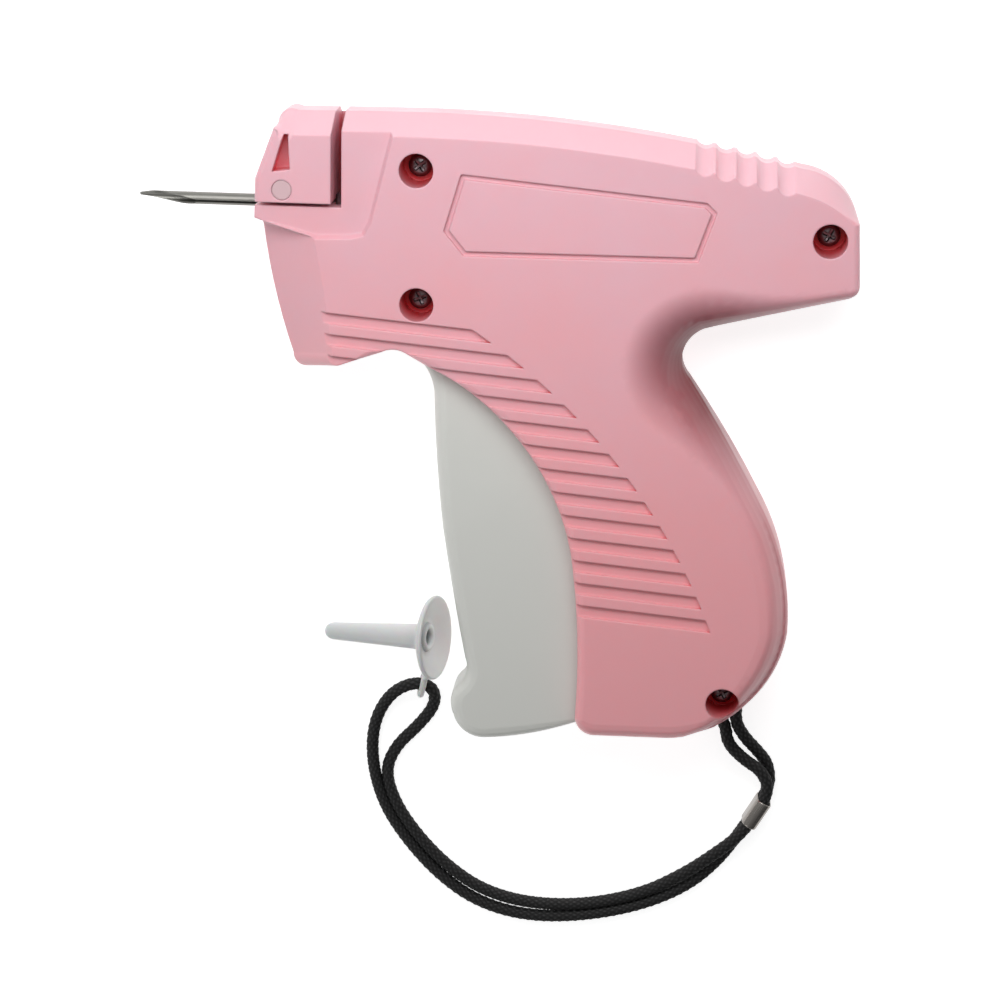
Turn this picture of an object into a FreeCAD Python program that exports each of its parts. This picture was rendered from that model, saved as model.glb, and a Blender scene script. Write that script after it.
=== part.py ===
import FreeCAD, Part
import math
import os
from types import SimpleNamespace

import Sketcher
from FreeCAD import Placement, Rotation, Vector

# A garment tag attacher lying on its right side. X runs from the needle tip to the rear
# of the casing, Y from the trigger's toe up to the top of the casing, and Z is up, so that
# the casing's parting plane is level and half the casing's width above the ground.
# The origin is under the middle of the gun: cord, ferrule and needle cap not counted.

# The driving dimensions, in millimetres, degrees or counts
SIZES = [
    ("body_length", 140.7, "casing, nose to rear"),
    ("full_height", 154.0, "top of the casing to the trigger's toe"),
    ("half_width", 13.0, "one casing half, parting plane to side face"),
    ("wall", 2.2, "moulded wall of the casing"),
    ("bevel_start", 4.0, "height above the parting plane where the long bevels begin"),
    ("brow_drop", 4.6, "height of the bevel along the top edge"),
    ("cheek_width", 13.2, "width of the slanted facet on the lower nose"),
    ("palm_round", 7.0, "rounding of the grip's back edge"),
    ("web_round", 4.5, "rounding in the web of the hand"),
    ("heel_round", 4.0, "rounding of the grip's lower end"),
    ("lip_round", 2.0, "rounding of the edges round the trigger opening"),
    ("edge_round", 1.3, "rounding of the nose and rear edges"),
    ("needle_reach", 29.6, "needle standing out of the nose"),
    ("needle_diameter", 2.9, "needle tube outside"),
    ("needle_bore", 2.0, "needle tube inside"),
    ("needle_slit", 0.9, "slit along the needle for the filament"),
    ("needle_scoop", 20.0, "open pointed part of the needle"),
    ("hub_diameter", 4.8, "needle hub"),
    ("hub_length", 15.0, "needle hub"),
    ("hub_inset", 1.2, "needle hub behind the nose face"),
    ("slot_width", 2.3, "upright slot for the fastener clip"),
    ("slot_depth", 20.0, "clip slot from the side face inwards"),
    ("clip_wall", 1.2, "solid nose behind the clip slot"),
    ("seam_height", 1.0, "level gap under the nose cover"),
    ("seam_lift", 0.7, "level gap above the needle axis"),
    ("step_depth", 1.6, "recessed step round the nose cover"),
    ("plug_diameter", 4.6, "round plug in the nose cover"),
    ("plug_length", 5.0, "round plug in the nose cover"),
    ("window_depth", 5.0, "triangular window in the nose cover"),
    ("screw_head", 5.4, "casing screw head diameter"),
    ("screw_head_height", 2.2, "casing screw head"),
    ("screw_shank", 2.9, "casing screw shank diameter"),
    ("screw_length", 11.0, "casing screw under its head"),
    ("screw_well", 8.0, "well over each casing screw"),
    ("well_floor", 2.6, "floor under each screw well"),
    ("boss_wall", 1.5, "wall round a well or a post hole"),
    ("post_diameter", 6.4, "screw post in the right half"),
    ("pivot_diameter", 4.0, "trigger and lever pins"),
    ("pivot_boss", 7.0, "boss round each pivot pin"),
    ("rail_reach", 5.6, "slide rail standing in from the side wall"),
    ("running_gap", 0.05, "radial clearance of a turning fit"),
    ("free_gap", 0.35, "clearance between parts that pass each other"),
    ("rib_pitch", 5.75, "grip ribs, one to the next"),
    ("rib_height", 3.1, "recess between two grip ribs"),
    ("rib_depth", 1.1, "recess between two grip ribs"),
    ("rib_fall", 4.7, "slope of the grip ribs in degrees"),
    ("rib_count", 13, "recesses between the grip ribs"),
    ("thumb_pitch", 4.85, "thumb grooves, one to the next"),
    ("thumb_radius", 2.6, "thumb groove"),
    ("thumb_depth", 0.9, "thumb groove"),
    ("thumb_count", 5, "thumb grooves"),
    ("panel_groove", 1.2, "width of the groove round the side panel"),
    ("panel_depth", 0.8, "depth of the groove round the side panel"),
    ("panel_corner", 2.6, "corner radius of the side panel"),
    ("trigger_width", 15.0, "trigger across"),
    ("trigger_wall", 3.2, "front web of the trigger"),
    ("trigger_slot", 7.0, "channel inside the trigger"),
    ("trigger_round", 3.0, "rounding of the trigger's front edges"),
    ("horn_wall", 2.6, "trigger horn round its slot"),
    ("lever_thickness", 5.0, "drive lever"),
    ("lever_reach", 58.0, "drive lever, pivot to slide pin"),
    ("lever_knee", 8.0, "bend of the drive lever's arm towards the nose"),
    ("lever_tail", 14.0, "drive lever, pivot to trigger pin"),
    ("lever_swing", 49.2, "drive lever, full swing in degrees"),
    ("lever_hub", 10.0, "drive lever hub diameter"),
    ("lever_width", 6.0, "drive lever arm at its end"),
    ("drive_pin", 3.0, "pins at the ends of the drive lever"),
    ("slide_length", 18.0, "slide block along its travel"),
    ("slide_height", 16.0, "slide block between its rails"),
    ("slide_web", 1.6, "slide block in front of the lever"),
    ("slide_width", 12.0, "slide block across"),
    ("slide_drop", 0.9, "middle of the slide block below the needle axis"),
    ("rail_thickness", 1.6, "guide rails of the slide block"),
    ("rod_diameter", 1.6, "push rod"),
    ("wheel_teeth", 12, "feed wheel"),
    ("feed_radius", 3.4, "feed wheel teeth that move the clip"),
    ("ratchet_radius", 8.0, "feed wheel ratchet ring"),
    ("tooth_height", 0.9, "feed wheel teeth"),
    ("ratchet_thickness", 2.2, "feed wheel ratchet ring"),
    ("feed_width", 7.0, "feed wheel across its feed teeth"),
    ("axle_diameter", 2.0, "feed wheel axle"),
    ("link_thickness", 2.0, "feed link"),
    ("link_width", 3.0, "feed link"),
    ("link_offset", 5.0, "feed link pin off the lever's pivot"),
    ("link_pin", 1.6, "feed link pin"),
    ("lock_length", 13.0, "needle lock lever"),
    ("lock_width", 5.0, "needle lock lever"),
    ("lock_thickness", 2.2, "needle lock lever"),
    ("lock_post", 3.0, "needle lock lever post"),
    ("blade_thickness", 0.8, "cutter blade"),
    ("blade_length", 7.0, "cutter blade"),
    ("spring_wire", 1.0, "return spring wire"),
    ("spring_turns", 4, "return spring, close wound"),
    ("spring_leg", 12.0, "return spring's legs"),
    ("cord_diameter", 3.0, "lanyard cord"),
    ("ferrule_length", 7.6, "crimped ferrule"),
    ("ferrule_wall", 0.5, "crimped ferrule"),
    ("cap_length", 26.4, "needle cap tube"),
    ("cap_dish", 2.6, "needle cap dish depth"),
    ("cap_tip", 4.4, "needle cap tube at its tip"),
    ("cap_root", 6.4, "needle cap tube at its disc"),
    ("cap_bore", 3.3, "needle cap bore"),
    ("cap_disc", 21.0, "needle cap disc diameter"),
    ("cap_disc_thickness", 1.1, "needle cap disc"),
    ("cap_tilt", 16.0, "needle cap axis, falling towards its tip, in degrees"),
    ("eyelet_radius", 2.7, "needle cap eyelet, middle of its ring"),
    ("eyelet_wire", 1.6, "needle cap eyelet ring, across and along the cord"),
]

# Places on the casing, as shares of its length from the nose and of its height from below
NEEDLE_HEIGHT_SHARE = 0.8526
SCREW_PLACE_SHARES = [(0.269, 0.918), (0.272, 0.714), (0.948, 0.832), (0.807, 0.093)]
TRIGGER_PLACE_SHARE = (0.644, 0.097)
# The slide block at rest between the two upper screws: the part of its spare room behind it
SLIDE_GAP_SHARE = 0.226

# The casing's outline at the parting plane, seen from the left side: each point ends a
# straight run or is the middle of an arc, and has the name of the edge form that it takes
CASING_OUTLINE_SHARES = [
    ("line", 0.000, 0.838, "front"),
    ("line", 0.002, 0.899, "front"),
    ("line", 0.033, 0.975, "front"),
    ("bend", 0.042, 0.994, "brow"),
    ("line", 0.066, 0.996, "brow"),
    ("line", 0.221, 0.998, "brow"),
    ("bend", 0.537, 0.986, "brow"),
    ("line", 0.899, 0.931, "brow"),
    ("bend", 0.965, 0.903, "brow"),
    ("line", 0.994, 0.858, "back"),
    ("line", 1.000, 0.766, "back"),
    ("bend", 0.995, 0.751, "back"),
    ("line", 0.982, 0.742, "under"),
    ("line", 0.750, 0.681, "web"),
    ("bend", 0.715, 0.638, "web"),
    ("line", 0.730, 0.600, "palm"),
    ("bend", 0.800, 0.501, "palm"),
    ("line", 0.853, 0.416, "palm"),
    ("bend", 0.899, 0.316, "palm"),
    ("line", 0.914, 0.203, "palm"),
    ("bend", 0.880, 0.114, "palm"),
    ("line", 0.797, 0.045, "heel"),
    ("bend", 0.752, 0.030, "heel"),
    ("line", 0.700, 0.025, "heel"),
    ("line", 0.587, 0.024, "heel"),
    ("bend", 0.563, 0.033, "heel"),
    ("line", 0.554, 0.055, "lip"),
    ("bend", 0.555, 0.175, "lip"),
    ("line", 0.540, 0.321, "lip"),
    ("bend", 0.504, 0.423, "lip"),
    ("line", 0.422, 0.531, "lip"),
    ("bend", 0.361, 0.580, "lip"),
    ("line", 0.292, 0.616, "lip"),
    ("line", 0.253, 0.636, "lip"),
    ("bend", 0.232, 0.641, "lip"),
    ("line", 0.212, 0.636, "lip"),
    ("line", 0.089, 0.603, "chin"),
    ("bend", 0.068, 0.603, "jaw"),
    ("line", 0.057, 0.621, "jaw"),
    ("bend", 0.026, 0.721, "cheek"),
    ("line", 0.007, 0.821, "cheek"),
]

# Heights of the casing's cross-section outlines, as shares of one half's width
SECTION_SHARES = (0.0, 0.308, 0.54, 0.69, 0.81, 0.89, 0.945, 0.98, 1.0)
CAVITY_SHARES = (0.308, 0.69, 0.785, 1.0)

# The feed link's elbow and bend beside the screw posts
LINK_ELBOW_SHARE = (0.330, 0.785)
LINK_BEND_SHARE = (0.250, 0.8515)

# Angles on the feed wheel, in degrees from +X: its first tooth's steep face, one tooth's
# spread, the tooth that the feed link pushes and the gap that the detent leaf holds
TOOTH_ANGLE = 15
TOOTH_SPREAD = 28
TOOTH_PUSHED = 75
DETENT_ANGLE = 281

# The cord's way over the ground, from one mouth to the other: shares of the casing's length
# and height, and the height of its middle in cord diameters
CORD_ROUTE_SHARES = [
    (0.851, -0.013, 1.27), (0.878, -0.040, 0.93), (0.898, -0.064, 0.74), (0.903, -0.106, 0.70),
    (0.857, -0.181, 0.70), (0.815, -0.242, 0.57), (0.757, -0.293, 0.53), (0.669, -0.332, 0.53),
    (0.561, -0.355, 0.53), (0.462, -0.358, 0.53), (0.376, -0.336, 0.53), (0.307, -0.291, 0.53),
    (0.248, -0.231, 0.53), (0.204, -0.168, 0.53), (0.182, -0.095, 0.53), (0.184, -0.025, 0.60),
    (0.213, 0.030, 1.00), (0.257, 0.058, 1.70), (0.293, 0.051, 1.53), (0.298, 0.016, 0.80),
    (0.271, -0.027, 0.53), (0.237, -0.071, 0.53), (0.223, -0.125, 0.53), (0.241, -0.184, 0.53),
    (0.285, -0.242, 0.53), (0.348, -0.288, 0.53), (0.426, -0.319, 0.53), (0.517, -0.332, 0.53),
    (0.608, -0.323, 0.53), (0.686, -0.300, 0.57), (0.752, -0.263, 0.87), (0.800, -0.227, 1.40),
    (0.857, -0.181, 1.77), (0.903, -0.106, 1.77), (0.887, -0.069, 1.73), (0.854, -0.052, 1.57),
    (0.822, -0.024, 1.50),
]
# The needle cap's disc on the ground beside the casing, and the way the cap points
CAP_PLACE_SHARE = (0.295, 0.148)
CAP_HEADING = 4.3
CAP_HEIGHT_SHARE = 0.4905

# How much of the shorter of two runs a cord's arc takes, and the flat sides that stand for
# the cord's round section
CORD_ARC_SHARE = 0.45
CORD_SIDES = 8

# The trigger opening along the grip's front edge
WINDOW_SHARES = [(0.251, 0.655), (0.251, 0.578), (0.1, 0.578), (0.1, 0.0),
                 (0.575, 0.0), (0.60, 0.039), (0.60, 0.48), (0.47, 0.655)]

# Where the recesses between the ribs end, on an arc: first, middle and last place
RIB_END_SHARES = [(0.366, 0.679), (0.601, 0.490), (0.735, 0.306)]

# The thumb grooves' row along the top edge: its first place and the way it runs
THUMB_PLACE_SHARE = (0.740, 0.9615)
THUMB_LAST_SHARE = (0.874, 0.9365)

# The nose cover's window, and the round plug below it
NOSE_WINDOW_SHARES = [(0.050, 0.966), (0.058, 0.966), (0.061, 0.914), (0.031, 0.910)]
PLUG_PLACE_SHARE = (0.047, 0.8825)

# The trigger's outline from the side at rest, clockwise like the casing's, and the channel
# inside it
TRIGGER_OUTLINE_SHARES = [
    ("line", 0.274, 0.664, "plain"),
    ("line", 0.352, 0.664, "plain"),
    ("bend", 0.445, 0.577, "plain"),
    ("line", 0.503, 0.480, "plain"),
    ("line", 0.516, 0.438, "plain"),
    ("line", 0.590, 0.357, "plain"),
    ("line", 0.606, 0.175, "plain"),
    ("line", 0.672, 0.130, "plain"),
    ("bend", 0.688, 0.080, "plain"),
    ("line", 0.650, 0.052, "plain"),
    ("line", 0.590, 0.050, "plain"),
    ("bend", 0.480, 0.012, "finger"),
    ("line", 0.395, 0.000, "finger"),
    ("bend", 0.359, 0.010, "finger"),
    ("line", 0.339, 0.038, "finger"),
    ("bend", 0.334, 0.061, "finger"),
    ("line", 0.345, 0.087, "finger"),
    ("bend", 0.360, 0.109, "finger"),
    ("line", 0.358, 0.134, "finger"),
    ("bend", 0.337, 0.234, "finger"),
    ("line", 0.316, 0.349, "finger"),
    ("bend", 0.302, 0.487, "finger"),
    ("line", 0.298, 0.568, "finger"),
    ("bend", 0.284, 0.605, "finger"),
    ("line", 0.258, 0.631, "finger"),
]
TRIGGER_HORN_SHARE = 0.5
TRIGGER_SECTION_SHARES = (0.0, 0.6, 0.72, 0.82, 0.9, 0.96, 1.0)
TRIGGER_CHANNEL_SHARES = [
    (0.290, 0.640), (0.320, 0.575), (0.325, 0.487), (0.340, 0.352), (0.362, 0.236),
    (0.384, 0.134), (0.386, 0.100), (0.425, 0.066), (0.72, 0.066),
    (0.72, 0.700), (0.290, 0.700),
]

# The floor of the step round the nose cover
STEP_SHARES = [(-0.05, 1.1), (0.212, 1.1), (0.226, 0.972), (0.190, 0.838), (0.180, 0.821),
               (0.160, 0.817), (0.104, 0.815), (0.068, 0.824), (-0.05, 0.848)]

# The side panel's corners
PANEL_SHARES = [(0.346, 0.911), (0.744, 0.880), (0.758, 0.868), (0.732, 0.797),
                (0.351, 0.795), (0.320, 0.829)]

doc = FreeCAD.newDocument("garment_tag_attacher")
sheet = doc.addObject("Spreadsheet::Sheet", "Sizes")
for row, (alias, value, note) in enumerate(SIZES, 1):
    sheet.set(f"A{row}", alias)
    sheet.set(f"B{row}", str(value))
    sheet.set(f"C{row}", note)
    sheet.setAlias(f"B{row}", alias)
doc.recompute()
s = SimpleNamespace(**{alias: float(sheet.get(alias)) for alias, value, note in SIZES})

# Main stations worked out from the driving dimensions
NOSE_X = (s.needle_reach - s.body_length) / 2
FLOOR_Y = -s.full_height / 2
PART_Z = s.half_width


def at(length_share, height_share, z=PART_Z):
    """A point on the casing from its shares of length and height."""
    return Vector(NOSE_X + length_share * s.body_length, FLOOR_Y + height_share * s.full_height, z)


def box(low, high):
    """A block from its lowest to its highest corner."""
    span = high - low
    return Part.makeBox(span.x, span.y, span.z, low)


def prism(points, low_z, high_z):
    """A straight-sided block over a closed outline of points."""
    corners = [Vector(p.x, p.y, low_z) for p in points]
    face = Part.Face(Part.makePolygon(corners + corners[:1]))
    return face.extrude(Vector(0, 0, high_z - low_z))


def bent_wire(marks):
    """A closed wire of lines and arcs: marks are (kind, point), a bend is an arc's middle."""
    edges = []
    count = len(marks)
    index = 0
    while index < count:
        start = marks[index][1]
        kind, after = marks[(index + 1) % count]
        if kind == "bend":
            end = marks[(index + 2) % count][1]
            edges.append(Part.Arc(start, after, end).toShape())
            index += 2
        else:
            edges.append(Part.LineSegment(start, after).toShape())
            index += 1
    return Part.Wire(edges)


def edge_insets():
    """How far each edge form draws the outline in by the side face: a vector, or a radius."""
    return {
        "front": s.edge_round,
        "brow": Vector(0, -s.brow_drop, 0),
        "back": s.edge_round,
        "under": s.lip_round,
        "web": s.web_round,
        "palm": s.palm_round,
        "heel": s.heel_round,
        "lip": s.lip_round,
        "chin": Vector(0.65 * s.cheek_width, s.lip_round, 0),
        "jaw": Vector(0.8 * s.cheek_width, s.lip_round, 0),
        "cheek": Vector(s.cheek_width, -s.edge_round, 0),
    }


def outline_marks(table, insets, half_width, height):
    """An outline at a height above the parting plane, drawn in where its edges are formed."""
    knots = [at(u, v, PART_Z + height) for kind, u, v, edge in table]
    marks = []
    for index, (kind, u, v, edge) in enumerate(table):
        inset = insets[edge]
        if isinstance(inset, Vector):
            share = max(0.0, height - s.bevel_start) / (half_width - s.bevel_start)
            marks.append((kind, knots[index] + inset * share))
            continue
        rise = min(1.0, max(0.0, height - (half_width - inset)) / inset)
        along = knots[(index + 1) % len(knots)] - knots[index - 1]
        inward = Vector(along.y, -along.x, 0).normalize()
        marks.append((kind, knots[index] + inward * inset * (1 - math.sqrt(1 - rise * rise))))
    return marks


def casing_marks(height):
    """The casing's outline at a height above the parting plane."""
    return outline_marks(CASING_OUTLINE_SHARES, edge_insets(), s.half_width, height)


def casing_block():
    """One solid half of the casing, from the parting plane to its side face."""
    wires = [bent_wire(casing_marks(share * s.half_width)) for share in SECTION_SHARES]
    return Part.makeLoft(wires, True, True)


def casing_cavity():
    """The hollow of one casing half, behind the solid nose."""
    hollow = None
    for share in CAVITY_SHARES:
        outline = bent_wire(casing_marks(share * s.half_width)).makeOffset2D(-s.wall)
        height = min(share * s.half_width, s.half_width - s.wall)
        layer = Part.Face(outline)
        layer.translate(Vector(0, 0, PART_Z - layer.BoundBox.ZMin))
        layer = layer.extrude(Vector(0, 0, height))
        hollow = layer if hollow is None else hollow.fuse(layer)
    front = Vector(SLOT_BACK + s.clip_wall, FLOOR_Y, PART_Z)
    return hollow.common(box(front, front + Vector(s.body_length, s.full_height, s.half_width)))


def trigger_window():
    """The opening along the grip's front edge, where the trigger comes out of one half."""
    corners = [at(u, v) for u, v in WINDOW_SHARES]
    return prism(corners, PART_Z, PART_Z + s.trigger_width / 2 + s.free_gap)


def rib_recesses():
    """The slanting recesses between the grip's ribs, cut from the side face."""
    first, middle, last = [at(u, v) for u, v in RIB_END_SHARES]
    circle = Part.Arc(first, middle, last).toShape().Curve
    fall = math.tan(math.radians(s.rib_fall))
    cuts = []
    for index in range(int(s.rib_count)):
        top = first.y - index * s.rib_pitch
        ends = []
        for y in (top, top - s.rib_height):
            reach = math.sqrt(circle.Radius ** 2 - (y - circle.Center.y) ** 2)
            ends.append(Vector(circle.Center.x + reach, y, 0))
        run = ends[0].x - NOSE_X
        away = Vector(-run, run * fall, 0)
        corners = [ends[0], ends[1], ends[1] + away, ends[0] + away]
        cuts.append(prism(corners, PART_Z + s.half_width - s.rib_depth, PART_Z + 2 * s.half_width))
    return cuts


def thumb_grooves():
    """The grooves across the top edge, over its flat middle and down its bevel."""
    lean = Vector(0, -s.brow_drop, s.half_width - s.bevel_start)
    first = at(*THUMB_PLACE_SHARE)
    last = at(*THUMB_LAST_SHARE)
    step = (last - first).normalize() * s.thumb_pitch
    cuts = []
    for index in range(int(s.thumb_count)):
        start = first + step * index + Vector(0, s.thumb_radius - s.thumb_depth, 0)
        bend = start + Vector(0, 0, s.bevel_start)
        cuts.append(Part.makeCylinder(s.thumb_radius, s.bevel_start, start, Vector(0, 0, 1)))
        cuts.append(Part.makeSphere(s.thumb_radius, bend))
        cuts.append(Part.makeCylinder(s.thumb_radius, 2 * lean.Length, bend, lean))
    return cuts


def panel_frame():
    """The groove that frames the plain panel on the side face."""
    corners = [at(u, v, PART_Z + s.half_width - s.panel_depth) for u, v in PANEL_SHARES]
    line = Part.makePolygon(corners + corners[:1])
    outer = Part.Face(line.makeOffset2D(s.panel_groove / 2))
    inner = Part.Face(line.makeOffset2D(-s.panel_groove / 2))
    return outer.cut(inner).extrude(Vector(0, 0, s.half_width))


def upright(place, diameter, low, high):
    """A round post or hole between two heights above the parting plane."""
    base = Vector(place.x, place.y, PART_Z + low)
    return Part.makeCylinder(diameter / 2, high - low, base, Vector(0, 0, 1))


def along_x(diameter, low_x, high_x, y, z=PART_Z):
    """A round bar or hole along X."""
    return Part.makeCylinder(diameter / 2, high_x - low_x, Vector(low_x, y, z), Vector(1, 0, 0))


NEEDLE_Y = FLOOR_Y + NEEDLE_HEIGHT_SHARE * s.full_height
HUB_FRONT = NOSE_X + s.hub_inset
HUB_BACK = HUB_FRONT + s.hub_length
SLOT_FRONT = HUB_BACK + s.blade_thickness + 3 * s.free_gap
SLOT_BACK = SLOT_FRONT + s.slot_width
SEAM_LOW = NEEDLE_Y + s.seam_lift
SEAM_HIGH = SEAM_LOW + s.seam_height
SCREWS = [at(u, v) for u, v in SCREW_PLACE_SHARES]
TRIGGER = at(*TRIGGER_PLACE_SHARE)
WHEEL = Vector(SLOT_BACK + s.feed_radius - s.tooth_height, NEEDLE_Y - s.ratchet_radius, PART_Z)
CAVITY_TOP = s.half_width - s.wall

# The slide block, the drive lever under it and the lever's tail pin at both ends of its swing
LEVER_LEAN = math.radians(s.lever_swing / 2)
STROKE = 2 * s.lever_reach * math.sin(LEVER_LEAN)
WELL_SIDE = s.screw_well / 2 + s.boss_wall
SLIDE_SPARE = SCREWS[2].x - SCREWS[0].x - 2 * WELL_SIDE - STROKE - s.slide_length
SLIDE_REST = SCREWS[2].x - WELL_SIDE - SLIDE_GAP_SHARE * SLIDE_SPARE - s.slide_length / 2
SLIDE_Y = NEEDLE_Y - s.slide_drop
PIN_RISE = s.lever_reach * (1 - math.cos(LEVER_LEAN))
PIN_TOP = SLIDE_Y + PIN_RISE / 2
PIN_LOW = SLIDE_Y - PIN_RISE / 2
LEVER = Vector(SLIDE_REST - STROKE / 2, PIN_TOP - s.lever_reach, PART_Z)
TAIL_SIDE = s.lever_tail * math.sin(LEVER_LEAN)
TAIL_DROP = s.lever_tail * math.cos(LEVER_LEAN)
TAIL_REST = LEVER - Vector(TAIL_SIDE, TAIL_DROP, 0)
TAIL_FULL = LEVER + Vector(TAIL_SIDE, -TAIL_DROP, 0)


def slide_rails():
    """The two rails that guide the slide block, standing in from the side face."""
    low_x = LEVER.x - STROKE / 2 - s.slide_length / 2
    high_x = SLIDE_REST + s.slide_length / 2
    gap = s.slide_height / 2 + s.free_gap
    rails = []
    for low_y in (SLIDE_Y + gap, SLIDE_Y - gap - s.rail_thickness):
        low = Vector(low_x, low_y, PART_Z + s.half_width - s.wall - s.rail_reach)
        high = Vector(high_x, low_y + s.rail_thickness, PART_Z + s.half_width - s.wall / 2)
        rails.append(box(low, high))
    return rails


def common_half():
    """What both casing halves share: skin, hollow, ribs, grooves, rails and pivot bosses."""
    half = casing_block()
    half = half.cut(casing_cavity())
    half = half.cut(trigger_window())
    bosses = slide_rails()
    for place, inner in ((LEVER, s.lever_thickness), (TRIGGER, s.trigger_width)):
        bosses.append(upright(place, s.pivot_boss, inner / 2 + s.free_gap, s.half_width - s.wall / 2))
    half = half.fuse(bosses)
    half = half.cut(rib_recesses() + thumb_grooves() + [panel_frame()])
    return half


def hub_space():
    """The channel for the needle hub and the push rod, and the clip's way down."""
    hub = along_x(s.hub_diameter + 2 * s.running_gap, NOSE_X - s.hub_inset, SLOT_FRONT, NEEDLE_Y)
    rod = along_x(s.rod_diameter + 2 * s.free_gap, SLOT_FRONT, LEVER.x, NEEDLE_Y)
    low = Vector(SLOT_FRONT, FLOOR_Y, PART_Z)
    depth = s.slot_depth - s.half_width
    clip = box(low, Vector(SLOT_BACK, -FLOOR_Y + s.wall, PART_Z + depth))
    return [hub, rod, clip]


def nose_window():
    """The corner of the left half that the nose cover and the clip slot take."""
    low = Vector(NOSE_X - s.wall, SEAM_LOW, PART_Z - s.wall)
    return box(low, Vector(SLOT_BACK, -FLOOR_Y + s.wall, PART_Z + 2 * s.half_width))


def nose_step():
    """The step round the nose cover, with a sloping edge."""
    corners = [at(u, v, PART_Z + s.half_width - s.step_depth) for u, v in STEP_SHARES]
    floor = Part.makePolygon(corners + corners[:1])
    rim = floor.makeOffset2D(s.step_depth, 2)
    rim.translate(Vector(0, 0, 2 * s.step_depth))
    return Part.makeLoft([floor, rim], True, True)


def left_half(shared):
    """The left casing half with its screw wells, before the holes for the pins."""
    solid = casing_block()
    floor = s.well_floor
    bosses = [upright(place, 2 * WELL_SIDE, 0, CAVITY_TOP + s.wall / 2) for place in SCREWS]
    bosses = [boss.common(solid) for boss in bosses]
    bosses.append(upright(WHEEL, s.axle_diameter + 2 * s.boss_wall, s.boss_wall, CAVITY_TOP + s.wall / 2))
    half = shared.fuse(bosses)
    wells = [upright(place, s.screw_well, floor, 2 * s.half_width) for place in SCREWS]
    shanks = [upright(place, s.screw_shank + s.free_gap, 0, floor) for place in SCREWS]
    pin = s.pivot_diameter + 2 * s.running_gap
    pins = [upright(place, pin, 0, CAVITY_TOP) for place in (LEVER, TRIGGER)]
    pins.append(upright(WHEEL, s.axle_diameter + 2 * s.running_gap, 0, s.slot_width + s.boss_wall))
    return half.cut(wells + shanks + pins + hub_space() + [nose_window(), nose_step(), blade_seat()])


def right_half(shared):
    """The right casing half: screw posts, feed wheel pocket, lock recess and cord mouth."""
    solid = casing_block()
    post_top = CAVITY_TOP + s.wall / 2
    posts = [upright(place, s.post_diameter, 0, post_top).common(solid) for place in SCREWS]
    posts.append(upright(WHEEL, s.axle_diameter + 2 * s.boss_wall, RATCHET_TOP + s.free_gap, post_top))
    wheel_pocket = upright(WHEEL, 2 * (s.ratchet_radius + s.free_gap), 0, RATCHET_TOP + s.free_gap)
    pawl_room = Vector(WHEEL.x - s.ratchet_radius / 2, WHEEL.y, PART_Z + RATCHET_LOW - s.free_gap)
    pawl_room = box(pawl_room, pawl_room + Vector(s.ratchet_radius, 1.4 * s.ratchet_radius, s.link_width))
    half = shared.cut([wheel_pocket, pawl_room]).fuse(posts)
    pilot = s.screw_length - s.well_floor + s.free_gap
    holes = [upright(place, s.screw_shank + 2 * s.running_gap, 0, pilot) for place in SCREWS]
    pin = s.pivot_diameter + 2 * s.running_gap
    holes += [upright(place, pin, 0, CAVITY_TOP) for place in (LEVER, TRIGGER)]
    holes.append(upright(WHEEL, s.axle_diameter + 2 * s.running_gap, 0, CAVITY_TOP + s.wall / 2))
    holes.append(lock_recess())
    holes += cord_mouths()
    half = half.cut(holes + hub_space() + [blade_seat()])
    return half.mirror(Vector(0, 0, PART_Z), Vector(0, 0, 1))


def lock_recess():
    """The recess and post hole of the needle lock lever, in the nose's right face."""
    depth = s.lock_thickness + s.free_gap
    floor = s.half_width - depth
    room = s.lock_width / 2 + s.free_gap
    sweep = s.lock_length + s.free_gap
    fan = upright(LOCK, 2 * sweep, floor, 2 * s.half_width)
    side = Vector(LOCK.x - room, LOCK.y - sweep, PART_Z + floor)
    fan = fan.common(box(side, side + Vector(sweep + room, sweep + room, 2 * s.half_width)))
    hole = upright(LOCK, s.lock_post + 2 * s.running_gap, s.half_width / 2, 2 * s.half_width)
    return fan.fuse(hole)


def cord_mouths():
    """Two round mouths in the grip's lower end and the room for the cord round its post."""
    wide = s.cord_diameter + s.free_gap
    mouths = [tube([mirrored(point) for point in ANCHOR_ROUTE], wide)]
    for place, inner in ((CORD_EXITS[0], ANCHOR_ROUTE[1]), (CORD_EXITS[1], ANCHOR_ROUTE[-2])):
        foot = mirrored(place)
        mouths.append(Part.makeCylinder(wide / 2, 2 * s.cord_diameter, foot, foot - mirrored(inner)))
    return mouths


def mirrored(point):
    """The same place on the other side of the parting plane."""
    return Vector(point.x, point.y, 2 * PART_Z - point.z)


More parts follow.
